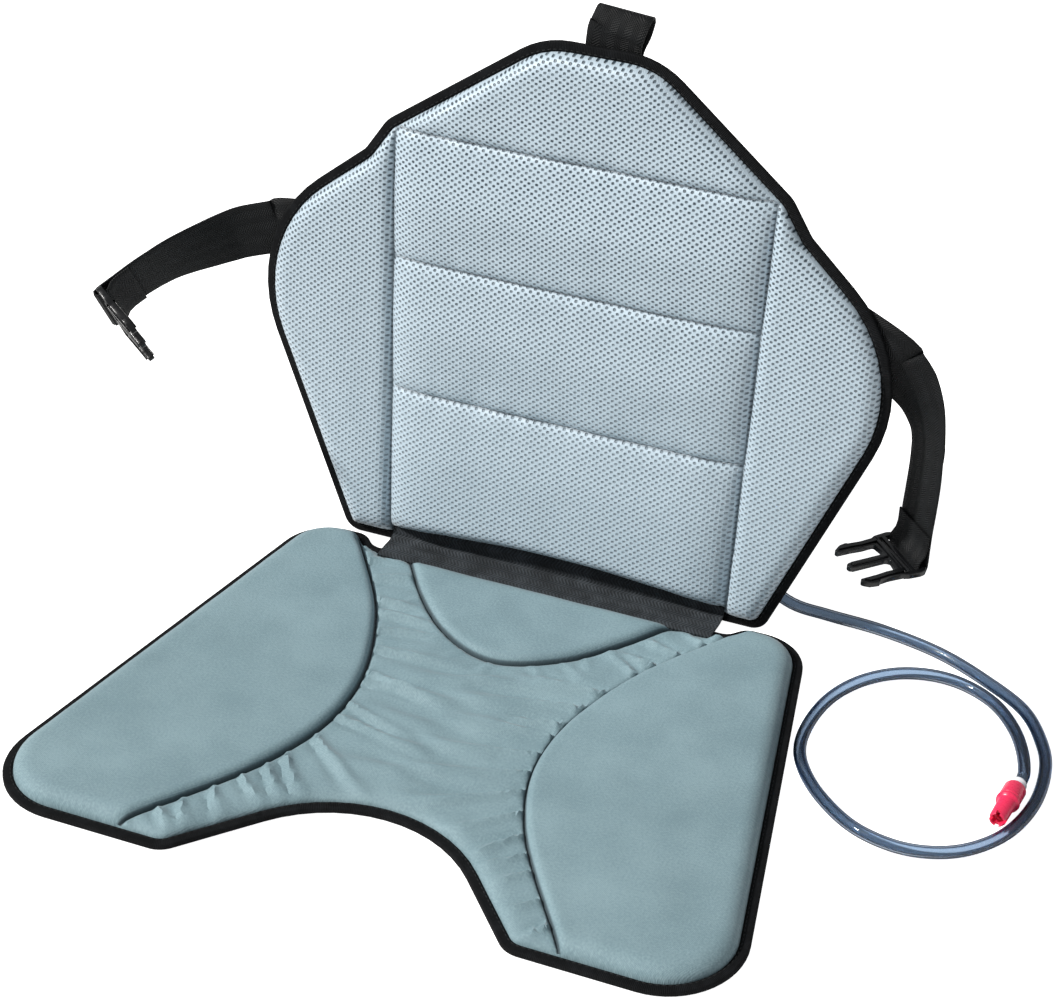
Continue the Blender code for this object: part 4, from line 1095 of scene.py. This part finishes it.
def ribbon(name, stations, width, thickness, material, rounding=0.0005):
    """Webbing through stations of (centre, direction across), with rounded edges."""
    count = len(stations)
    half, deep = width / 2, thickness / 2
    across_steps = 9
    spread = [2 * k / across_steps - 1 for k in range(across_steps + 1)]
    section = [(half * share * (1 - rounding / half), deep) for share in spread]
    section += [(half, deep * 0.4), (half, -deep * 0.4)]
    section += [(-x, -z) for x, z in section[: across_steps + 1]]
    section += [(-half, -deep * 0.4), (-half, deep * 0.4)]
    points, uv = [], []
    run = 0.0
    for i, (centre, across) in enumerate(stations):
        if i:
            run += (centre - stations[i - 1][0]).length
        along = stations[min(i + 1, count - 1)][0] - stations[max(i - 1, 0)][0]
        normal = along.cross(across).normalized()
        side = normal.cross(along).normalized()
        points += [centre + side * x + normal * z for x, z in section]
        uv += [(run, x + half) for x, z in section]
    size = len(section)
    faces = [tuple(reversed(range(size))), tuple(size * (count - 1) + k for k in range(size))]
    for i in range(count - 1):
        for k in range(size):
            a, b = size * i + k, size * i + (k + 1) % size
            faces.append((a, b, b + size, a + size))
    return piece(name, points, faces, material, uv, 50)


def finer(stations, step):
    """More stations on smooth curves through the given ones."""
    centres = smooth_line([c for c, _ in stations], step)
    line = [c for c, _ in stations]
    given = np.cumsum([0.0] + [(b - a).length for a, b in zip(line, line[1:])])
    fresh = np.cumsum([0.0] + [(b - a).length for a, b in zip(centres, centres[1:])])
    fresh *= given[-1] / fresh[-1]
    turned = np.array([tuple(a.normalized()) for _, a in stations])
    axes = [np.interp(fresh, given, turned[:, k]) for k in range(3)]
    return [(c, Vector(a)) for c, a in zip(centres, zip(*axes))]


def buckle_frame(place, along, across):
    """Where a buckle lies: its bar along X, its arms towards Y."""
    along, across = Vector(along).normalized(), Vector(across)
    across = (across - along * along.dot(across)).normalized()
    matrix = Matrix((across, along.cross(across), -along)).transposed().to_4x4()
    matrix.translation = (place[0], HINGE_Y + place[1], place[2])
    return matrix


def strap_stations(side, drop, route, place, turned_by):
    """From behind the wing to the buckle's bar, round it, and back along the strap."""
    rear = -GAP - WEBBING / 2
    across_first = back_vector(-side * math.sin(drop), -math.cos(drop), 0) - back_vector(0, 0, 0)
    inner_x = STRAP_EDGE - STRAP_SEWN * math.cos(drop)
    inner = back_vector(side * inner_x, STRAP_RISE + STRAP_SEWN * math.sin(drop), rear)
    edge = back_vector(side * STRAP_EDGE, STRAP_RISE, rear)
    knots = [edge] + [Vector((x, HINGE_Y + y, z)) for x, y, z in route]
    knots += [place @ Vector((0, -WRAP, z)) for z in (0.027, 0.014)]
    line = [inner, *smooth_line(knots, 0.016)]
    across_last = place.to_3x3() @ Vector((1, 0, 0))
    if across_last.dot(across_first) < 0:
        across_last.negate()
    stations = []
    for i, point in enumerate(line):
        t = float(smooth((i - 2) / (len(line) - 4) / turned_by))
        stations.append((point, across_first.lerp(across_last, t)))
    depth = BUCKLE_THICKNESS / 2 + 0.0012 + WEBBING / 2
    back = -WRAP + WEBBING + GAP
    turn = (
        (-WRAP, 0.012),
        (-WRAP, 0.0),
        (-WRAP * 0.75, -depth * 0.85),
        (0.0, -depth * 1.12),
        (WRAP * 0.75, -depth * 0.85),
        (WRAP, 0.0),
        (WRAP, depth * 1.1),
        (back + 0.0011, 0.0095),
        (back, 0.0145),
        (back, 0.025),
    )
    return stations + [(place @ Vector((0, y, z)), across_last) for y, z in turn]


def make_straps(looks):
    """Both side straps, each with its buckle."""
    left = buckle_frame(LEFT_BUCKLE_PLACE, LEFT_BUCKLE_ALONG, LEFT_BUCKLE_ACROSS)
    right = buckle_frame(RIGHT_BUCKLE_PLACE, RIGHT_BUCKLE_ALONG, RIGHT_BUCKLE_ACROSS)
    ends = {
        "left": (-1, LEFT_STRAP_DROP, LEFT_STRAP_ROUTE, left, 1.0),
        "right": (1, RIGHT_STRAP_DROP, RIGHT_STRAP_ROUTE, right, 0.6),
    }
    for name, (side, drop, route, place, turned_by) in ends.items():
        stations = finer(strap_stations(side, drop, route, place, turned_by), 0.0035)
        made = ribbon(f"{name}_strap_webbing", stations, STRAP_WIDTH, WEBBING, looks["webbing"])
        dressed(made, f"{name}_side_strap")
        run_of(stations)
        make_buckle(name, place, looks)


def buckle_half():
    """Right half of a buckle's outline, from its bar to the tips of the arm and the guide."""
    w = BUCKLE_WIDTH / 2
    base = BUCKLE_BASE
    tip = base + PRONG_LENGTH
    return [
        (0.0, -BUCKLE_BAR / 2 - 0.0003),
        (w - 0.004, -BUCKLE_BAR / 2),
        (w - 0.001, -BUCKLE_BAR / 2 + 0.002),
        (w, 0.004),
        (w - 0.0008, base - 0.003),
        (w - 0.0030, base + 0.001),
        (w - 0.0036, base + 0.010),
        (w - 0.0030, base + 0.017),
        (w - 0.0010, base + 0.0185),
        (w - 0.0018, tip - 0.006),
        (w - 0.0060, tip),
        (w - 0.0085, tip - 0.001),
        (w - 0.0078, tip - 0.010),
        (w - 0.0036 - PRONG_WIDTH, base + 0.010),
        (w - 0.0046 - PRONG_WIDTH, base + 0.002),
        (GUIDE_WIDTH / 2 + 0.002, base + 0.0005),
        (GUIDE_WIDTH / 2, base + 0.003),
        (GUIDE_WIDTH / 2 - 0.0004, tip - 0.002),
        (GUIDE_WIDTH / 2 - 0.0016, tip),
    ]


def alone(obj):
    bpy.ops.object.select_all(action="DESELECT")
    obj.select_set(True)
    bpy.context.view_layer.objects.active = obj


def closed_up(sliver=0.0):
    """The active piece with its doubles merged and its faces pointing outwards."""
    bpy.ops.object.mode_set(mode="EDIT")
    bpy.ops.mesh.select_all(action="SELECT")
    bpy.ops.mesh.remove_doubles(threshold=1e-6)
    if sliver:
        bpy.ops.mesh.dissolve_degenerate(threshold=sliver)
        bpy.ops.mesh.select_all(action="SELECT")
    bpy.ops.mesh.normals_make_consistent(inside=False)
    bpy.ops.object.mode_set(mode="OBJECT")


def finished(obj, place, material, sharp):
    """Puts a piece's mesh in its place and gives it its finish."""
    obj.data.transform(place)
    obj.data.materials.clear()
    obj.data.materials.append(material)
    obj.data.shade_smooth()
    obj.data.set_sharp_from_angle(angle=math.radians(sharp))
    bpy.ops.object.select_all(action="DESELECT")
    return obj


def moulding(name, loops, half_depth, bevel, place, material):
    """A flat moulding: its outlines are filled, thickened and rounded off at the rims."""
    curve = bpy.data.curves.new(name, "CURVE")
    curve.dimensions = "2D"
    curve.fill_mode = "BOTH"
    curve.extrude = half_depth - bevel
    curve.bevel_depth = bevel
    curve.bevel_resolution = 2
    curve.offset = -bevel
    for loop in loops:
        spline = curve.splines.new("POLY")
        spline.points.add(len(loop) - 1)
        for point, (x, y) in zip(spline.points, loop):
            point.co = (x, y, 0, 1)
        spline.use_cyclic_u = True
    obj = bpy.data.objects.new(name, curve)
    bpy.context.scene.collection.objects.link(obj)
    alone(obj)
    bpy.ops.object.convert(target="MESH")
    obj = bpy.context.object
    obj.data.name = name
    closed_up()
    return finished(obj, place, material, 35)


def rounded_loop(half):
    """Both halves of a moulding's outline with a soft curve through its corners."""
    loop = half + [(-x, y) for x, y in reversed(half) if x > 0]
    fine = []
    for (ax, ay), (bx, by), (cx, cy) in zip(loop[-1:] + loop[:-1], loop, loop[1:] + loop[:1]):
        before = Vector((ax - bx, ay - by))
        after = Vector((cx - bx, cy - by))
        cut = min(0.0012, before.length * 0.4, after.length * 0.4)
        start = Vector((bx, by)) + before.normalized() * cut
        end = Vector((bx, by)) + after.normalized() * cut
        middle = (start + end) / 4 + Vector((bx, by)) / 2
        fine += [tuple(start), tuple(middle), tuple(end)]
    return fine


def make_buckle(name, place, looks):
    slot_half = STRAP_WIDTH / 2 + 0.0008
    first = BUCKLE_BAR / 2
    second = first + BUCKLE_SLOT + 0.0030
    slots = []
    for low, high in ((first, first + BUCKLE_SLOT), (second, second + 0.0030)):
        slots.append([(-slot_half, low), (slot_half, low), (slot_half, high), (-slot_half, high)])
    loops = [rounded_loop(buckle_half()), *slots]
    body = moulding(f"{name}_buckle_moulding", loops, BUCKLE_THICKNESS / 2, 0.0005, place, looks["plastic"])
    dressed(body, f"{name}_buckle")
    w, base, tip = BUCKLE_WIDTH / 2, BUCKLE_BASE, BUCKLE_BASE + PRONG_LENGTH
    arm = [
        (w - 0.0044, base - 0.003),
        (w - 0.0050, base + 0.010),
        (w - 0.0042, base + 0.018),
        (w - 0.0040, tip - 0.006),
        (w - 0.0064, tip - 0.0030),
        (w - 0.0066, base + 0.018),
        (w - 0.0074, base + 0.010),
        (w - 0.0070, base - 0.003),
    ]
    guide = GUIDE_WIDTH / 2 - 0.0014
    middle = [(-guide, base), (guide, base), (guide, tip - 0.003), (-guide, tip - 0.003)]
    end, low, high = w - 0.003, base - 0.0034, base - 0.0012
    bridge = [(-end, low), (end, low), (end, high), (-end, high)]
    ribs = [arm, [(-x, y) for x, y in reversed(arm)], middle, bridge]
    raised = BUCKLE_THICKNESS / 2 + RIB_HEIGHT
    raised = moulding(f"{name}_buckle_ribs", ribs, raised, 0.0004, place, looks["plastic"])
    dressed(raised, slot=f"{name}_buckle")


def make_loop(looks):
    """The webbing loop behind the crown, which leans to one side as it stands up."""
    rear = -GAP - WEBBING / 2
    second = rear - WEBBING - GAP
    route = [
        (BACK_HEIGHT - LOOP_SEWN, rear),
        (BACK_HEIGHT + 0.004, rear),
        (BACK_HEIGHT + 0.012, rear + 0.0010),
        (BACK_HEIGHT + LOOP_STAND - 0.006, rear - 0.001),
        (BACK_HEIGHT + LOOP_STAND, rear - 0.006),
        (BACK_HEIGHT + LOOP_STAND - 0.003, rear - 0.0125),
        (BACK_HEIGHT + LOOP_STAND - 0.013, rear - 0.0135),
        (BACK_HEIGHT + 0.001, rear - 0.0090),
        (BACK_HEIGHT - 0.012, second - 0.0008),
        (BACK_HEIGHT - LOOP_SEWN + 0.004, second),
    ]
    stations = []
    for rise, depth in route:
        free = max(0.0, rise - BACK_HEIGHT)
        across = Vector((1, 0, -0.4 * min(1, free / LOOP_STAND) * LOOP_LEAN)).normalized()
        stations.append((back_vector(LOOP_OFFSET + LOOP_LEAN * free, rise, depth), across))
    stations = finer(stations, 0.003)
    made = ribbon("top_loop_webbing", stations, STRAP_WIDTH, WEBBING, looks["webbing"])
    dressed(made, "top_loop")
    run_of(stations)


def make_hinge(looks):
    """The wide black webbing along the fold."""
    lift = BINDING_HEIGHT + GAP + WEBBING / 2
    columns = 96
    rows = []
    for column in range(columns + 1):
        x = HINGE_HALF_WIDTH * (2 * column / columns - 1)
        seat_end = Vector((x, HINGE_Y - HINGE_SET - HINGE_LAP, lift))
        seat_edge = Vector((x, HINGE_Y - HINGE_SET + 0.001, lift))
        foot = back_vector(x, 0.004, lift)
        bend = (seat_edge + foot) / 2 + Vector((0, 0.0012, -0.0012))
        ends = back_vector(x, 0.008, lift), back_vector(x, hinge_top(x), lift)
        knots = [seat_end, seat_edge, bend, foot, *ends]
        rows.append(smooth_line(knots, 0.0032))
    size = min(len(r) for r in rows)
    rows = [[r[round(k * (len(r) - 1) / (size - 1))] for k in range(size)] for r in rows]
    points, uv = [], []
    for column, line in enumerate(rows):
        run = 0.0
        for i, point in enumerate(line):
            if i:
                run += (point - line[i - 1]).length
            along = line[min(i + 1, size - 1)] - line[max(i - 1, 0)]
            normal = Vector((1, 0, 0)).cross(along).normalized() * WEBBING / 2
            points += [point + normal, point - normal]
            uv += [(point.x, run)] * 2
    faces = []
    for column in range(columns):
        for row in range(size - 1):
            a = 2 * (column * size + row)
            b = a + 2 * size
            faces += [(a, a + 2, b + 2, b), (a + 1, b + 1, b + 3, a + 3)]
        for row in (0, size - 1):
            a = 2 * (column * size + row)
            faces.append((a, a + 2 * size, a + 2 * size + 1, a + 1))
    for row in range(size - 1):
        for column in (0, columns):
            a = 2 * (column * size + row)
            faces.append((a, a + 1, a + 3, a + 2))
    made = piece("hinge_webbing_strip", points, faces, looks["hinge"], uv)
    dressed(made, "hinge_webbing")


def gland_mouth():
    """Where the hose leaves its elbow behind the backrest."""
    return back_vector(GLAND_SIDE + 0.016, GLAND_RISE, -GAP - 0.0022 - HOSE_R - 0.0010)


def valve_place(along):
    """A place on the valve's axis."""
    start = Vector((0.3565, HINGE_Y - 0.0850, VALVE_AXIS_Z))
    return start + Vector((-0.060, -1.0, 0.060)).normalized() * along


def hose_route():
    """From the elbow behind the backrest, down to the ground and once round to the valve."""
    start = gland_mouth()
    low = HOSE_R + 0.0002
    ground = (
        (0.189, 0.041, low + 0.0010),
        (0.228, 0.040, low),
        (0.270, 0.031, low),
        (0.307, 0.014, low),
        (0.339, -0.007, low),
        (0.359, -0.036, low),
        (0.368, -0.062, low),
        (0.370, -0.095, low),
        (0.363, -0.126, low),
        (0.348, -0.149, low),
        (0.328, -0.163, low),
        (0.302, -0.168, low),
        (0.272, -0.161, low),
        (0.245, -0.142, low),
        (0.226, -0.120, low),
        (0.216, -0.098, low),
        (0.214, -0.070, low),
        (0.219, -0.042, low),
        (0.232, -0.018, low),
        (0.252, -0.001, low),
        (0.276, 0.006, low),
        (0.299, 0.003, low),
        (0.321, -0.009, low),
        (0.339, -0.030, low + 0.0006),
        (0.351, -0.054, low + 0.0022),
    )
    knots = [start, start + Vector((0.012, 0.0, -0.001)), Vector((0.166, HINGE_Y + 0.031, 0.0155))]
    knots += [Vector((x, HINGE_Y + y, z)) for x, y, z in ground]
    return [*knots, valve_place(-0.010), valve_place(0.0)]


def tube(name, line, outer, inner, material, sides=28):
    """An open-bored tube along a line, with flat ends."""
    count = len(line)
    across = Vector((0, 0, 1))
    points, uv = [], []
    run = 0.0
    for i, centre in enumerate(line):
        if i:
            run += (centre - line[i - 1]).length
        along = (line[min(i + 1, count - 1)] - line[max(i - 1, 0)]).normalized()
        across = (across - along * across.dot(along)).normalized()
        other = along.cross(across)
        for radius in (outer, inner):
            for k in range(sides):
                angle = 2 * math.pi * k / sides
                points.append(centre + (across * math.cos(angle) + other * math.sin(angle)) * radius)
                uv.append((run, radius * angle))
    faces = []
    size = 2 * sides
    for i in range(count - 1):
        for k in range(sides):
            n = (k + 1) % sides
            a, b = size * i, size * (i + 1)
            faces.append((a + k, a + n, b + n, b + k))
            faces.append((a + sides + n, a + sides + k, b + sides + k, b + sides + n))
    for a in (0, size * (count - 1)):
        for k in range(sides):
            n = (k + 1) % sides
            faces.append((a + k, a + n, a + sides + n, a + sides + k))
    return piece(name, points, faces, material, uv, 60)


def turned(name, profile, steps):
    """A turned part round the Z axis: its profile is a closed ring that is spun."""
    bpy.ops.mesh.primitive_circle_add(vertices=len(profile), radius=NECK_R, location=(0, 0, 0))
    obj = bpy.context.object
    obj.name = obj.data.name = name
    for corner, (radius, along) in zip(obj.data.vertices, profile):
        corner.co = (radius, 0, along)
    bpy.ops.object.mode_set(mode="EDIT")
    bpy.ops.mesh.select_all(action="SELECT")
    bpy.ops.mesh.spin(steps=steps, angle=2 * math.pi, center=(0, 0, 0), axis=(0, 0, 1))
    bpy.ops.object.mode_set(mode="OBJECT")
    closed_up(sliver=1e-6)
    return obj


def make_hose(looks):
    """The clear hose and its mouth valve."""
    line = smooth_line(hose_route(), 0.0045)
    hose = tube("clear_air_hose", line, HOSE_R, HOSE_BORE_R, looks["hose"])
    length = sum((b - a).length for a, b in zip(line, line[1:]))
    dressed(hose, "air_hose")
    axis = (valve_place(1.0) - valve_place(0.0)).normalized()
    matrix = axis.to_track_quat("Z", "Y").to_matrix().to_4x4()
    matrix.translation = valve_place(0.0)
    stem = [
        (0.0024, -0.009),
        (HOSE_BORE_R - 0.0001, -0.009),
        (HOSE_BORE_R - 0.0001, GAP),
        (NECK_R + 0.0005, GAP),
        (NECK_R + 0.0006, 0.0006),
        (NECK_R + 0.0006, 0.0014),
        (NECK_R + 0.0002, 0.0020),
        (NECK_R - 0.0002, 0.0030),
        (NECK_R - 0.0002, NECK_LENGTH - 0.0010),
        (NECK_R - 0.0010, NECK_LENGTH),
        (0.0024, NECK_LENGTH),
    ]
    stem = finished(turned("white_valve_stem", stem, 40), matrix, looks["white"], 30)
    dressed(stem, "valve_stem")
    mouth = make_mouthpiece(matrix, looks)
    tuple(line[0])
    [tuple(p) for p in line]


def make_mouthpiece(matrix, looks):
    """The red push-pull piece: a ridged collar, a nozzle, and two crossed slots in its mouth."""
    low = NECK_SHOWN
    step = low + COLLAR_LENGTH
    mouth = step + NOZZLE_LENGTH
    bore = NECK_R + 0.0001
    throat = NECK_LENGTH + 0.0055
    r = COLLAR_R
    profile = [
        (bore, low),
        (r - 0.0012, low),
        (r - 0.0003, low + 0.0003),
        (r, low + 0.0010),
        (r, step - 0.0042),
        (r - 0.0005, step - 0.0038),
        (r - 0.0005, step - 0.0032),
        (r + 0.0003, step - 0.0028),
        (r + 0.0005, step - 0.0020),
        (r + 0.0003, step - 0.0008),
        (r - 0.0006, step - 0.0001),
        (NOZZLE_R + 0.0004, step + 0.0004),
        (NOZZLE_R, step + 0.0012),
        (NOZZLE_R - 0.0003, mouth - 0.0016),
        (NOZZLE_R - 0.0007, mouth - 0.0004),
        (NOZZLE_R - 0.0012, mouth),
        (0.0042, mouth),
        (0.0038, mouth - 0.0004),
        (0.0037, mouth - 0.0055),
        (0.0022, mouth - 0.0060),
        (0.0022, throat + 0.0010),
        (bore, throat),
    ]
    nozzle = turned("red_mouthpiece", profile, 48)
    slots = []
    for turn in (0, math.pi / 2):
        bpy.ops.mesh.primitive_cube_add(
            size=1, location=(0, 0, mouth), rotation=(0, 0, turn), scale=MOUTH_SLOT
        )
        slots.append(bpy.context.object)
    slots[0].select_set(True)
    bpy.ops.object.join()
    slots = bpy.context.object
    cut = nozzle.modifiers.new("slots", "BOOLEAN")
    cut.operation = "DIFFERENCE"
    cut.solver = "EXACT"
    cut.use_self = True
    cut.object = slots
    alone(nozzle)
    bpy.ops.object.modifier_apply(modifier=cut.name)
    bpy.data.objects.remove(slots, do_unlink=True)
    finished(nozzle, matrix, looks["red"], 30)
    return dressed(nozzle, "valve_mouthpiece", body="mouthpiece")


def give(node, material):
    """Gives a kept CAD part its finish."""
    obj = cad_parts[node]
    obj.data.materials.clear()
    obj.data.materials.append(material)


def dress_frame(looks):
    """Finishes of the parts inside the covers, and of the elbow."""
    for node in (
        "seat_foam_board",
        "seat_left_thigh_pad",
        "seat_right_thigh_pad",
        "seat_tail_pad",
        "back_left_wing_foam",
        "back_right_wing_foam",
        "back_crown_foam",
        "back_quilt_foam",
    ):
        give(node, looks["foam"])
    give("back_stiffener", looks["plastic"])
    give("lumbar_bladder", looks["bladder"])
    give("hose_gland", looks["plastic"])


def make_light():
    world = bpy.data.worlds.new("studio")
    bpy.context.scene.world = world
    world.use_nodes = True
    tree = world.node_tree
    ground = tree.nodes["Background"]
    ground.inputs["Color"].default_value = (0.95, 0.975, 1.0, 1)
    ground.inputs["Strength"].default_value = STUDIO_LEVEL
    pale = tree.nodes.new("ShaderNodeBackground")
    pale.inputs["Color"].default_value = (1, 1, 1, 1)
    pale.inputs["Strength"].default_value = 1.0
    mix = tree.nodes.new("ShaderNodeMixShader")
    path = tree.nodes.new("ShaderNodeLightPath")
    tree.links.new(path.outputs["Is Camera Ray"], mix.inputs[0])
    tree.links.new(ground.outputs[0], mix.inputs[1])
    tree.links.new(pale.outputs[0], mix.inputs[2])
    tree.links.new(mix.outputs[0], tree.nodes["World Output"].inputs[0])
    sun = bpy.data.lights.new("key", "SUN")
    sun.energy = SUN_LEVEL
    sun.angle = math.radians(4)
    sun.color = (1.0, 0.985, 0.96)
    key = bpy.data.objects.new("key", sun)
    bpy.context.scene.collection.objects.link(key)
    key.rotation_euler = Vector(SUN_TOWARDS).to_track_quat("-Z", "Y").to_euler()


def make_floor():
    bpy.ops.mesh.primitive_plane_add(size=12, location=(0, 0, -0.0004))
    floor = bpy.context.object
    floor.name = "floor"
    s = Shade("floor_white", (0.9, 0.9, 0.9), 0.9)
    output = s.tree.nodes["Material Output"]
    glow = s.node("ShaderNodeEmission")
    glow.inputs["Color"].default_value = (1, 1, 1, 1)
    glow.inputs["Strength"].default_value = GROUND_GLOW
    both = s.node("ShaderNodeAddShader")
    s.link(s.shader.outputs[0], both.inputs[0])
    s.link(glow.outputs[0], both.inputs[1])
    mix = s.node("ShaderNodeMixShader")
    s.link(s.node("ShaderNodeLightPath").outputs["Is Camera Ray"], mix.inputs[0])
    s.link(s.shader.outputs[0], mix.inputs[1])
    s.link(both.outputs[0], mix.inputs[2])
    s.link(mix.outputs[0], output.inputs[0])
    floor.data.materials.append(s.material)


def make_camera():
    data = bpy.data.cameras.new("camera")
    data.lens = CAMERA_LENS
    data.sensor_width = 36
    data.clip_start = 0.05
    data.clip_end = 50
    camera = bpy.data.objects.new("camera", data)
    camera.location = CAMERA_PLACE
    camera.rotation_euler = (math.pi / 2 - CAMERA_ELEVATION, 0, CAMERA_AZIMUTH)
    bpy.context.scene.collection.objects.link(camera)
    bpy.context.scene.camera = camera


def main():
    bpy.ops.object.select_all(action="DESELECT")
    bpy.context.scene.view_settings.view_transform = "Standard"
    thread_rows()
    worn_patches()
    looks = {
        "seat": seat_cloth(),
        "mesh": spacer_mesh(),
        "tape": tape(),
        "webbing": webbing("webbing", 0.0026, 0.0),
        "hinge": webbing("hinge_webbing", 0.0190, 0.10, 0.0026),
        "under": plain_cloth("black_cloth", (0.006, 0.007, 0.008), (0.018, 0.020, 0.022)),
        "plastic": moulded("black_plastic", (0.0045, 0.0048, 0.0056), 0.22),
        "red": moulded("red_plastic", (0.90, 0.030, 0.110), 0.3, 0.05),
        "white": moulded("white_plastic", (0.82, 0.86, 0.90), 0.35, 0.05),
        "bladder": moulded("bladder_film", (0.45, 0.47, 0.50), 0.4, 0.1),
        "foam": foam(),
        "hose": clear_hose(),
        "thread": plain_cloth("black_thread", (0.004, 0.0045, 0.005), (0.016, 0.017, 0.018), 0.0004),
        "grey_thread": plain_cloth("grey_thread", (0.035, 0.05, 0.06), (0.11, 0.15, 0.165), 0.0004),
        "pale_thread": plain_cloth("pale_thread", (0.45, 0.50, 0.55), (0.70, 0.75, 0.80), 0.0004),
    }
    make_camera()
    make_hose(looks)
    make_seat(looks)
    make_back(looks)
    make_hinge(looks)
    make_straps(looks)
    make_loop(looks)
    dress_frame(looks)
    make_floor()
    make_light()


main()
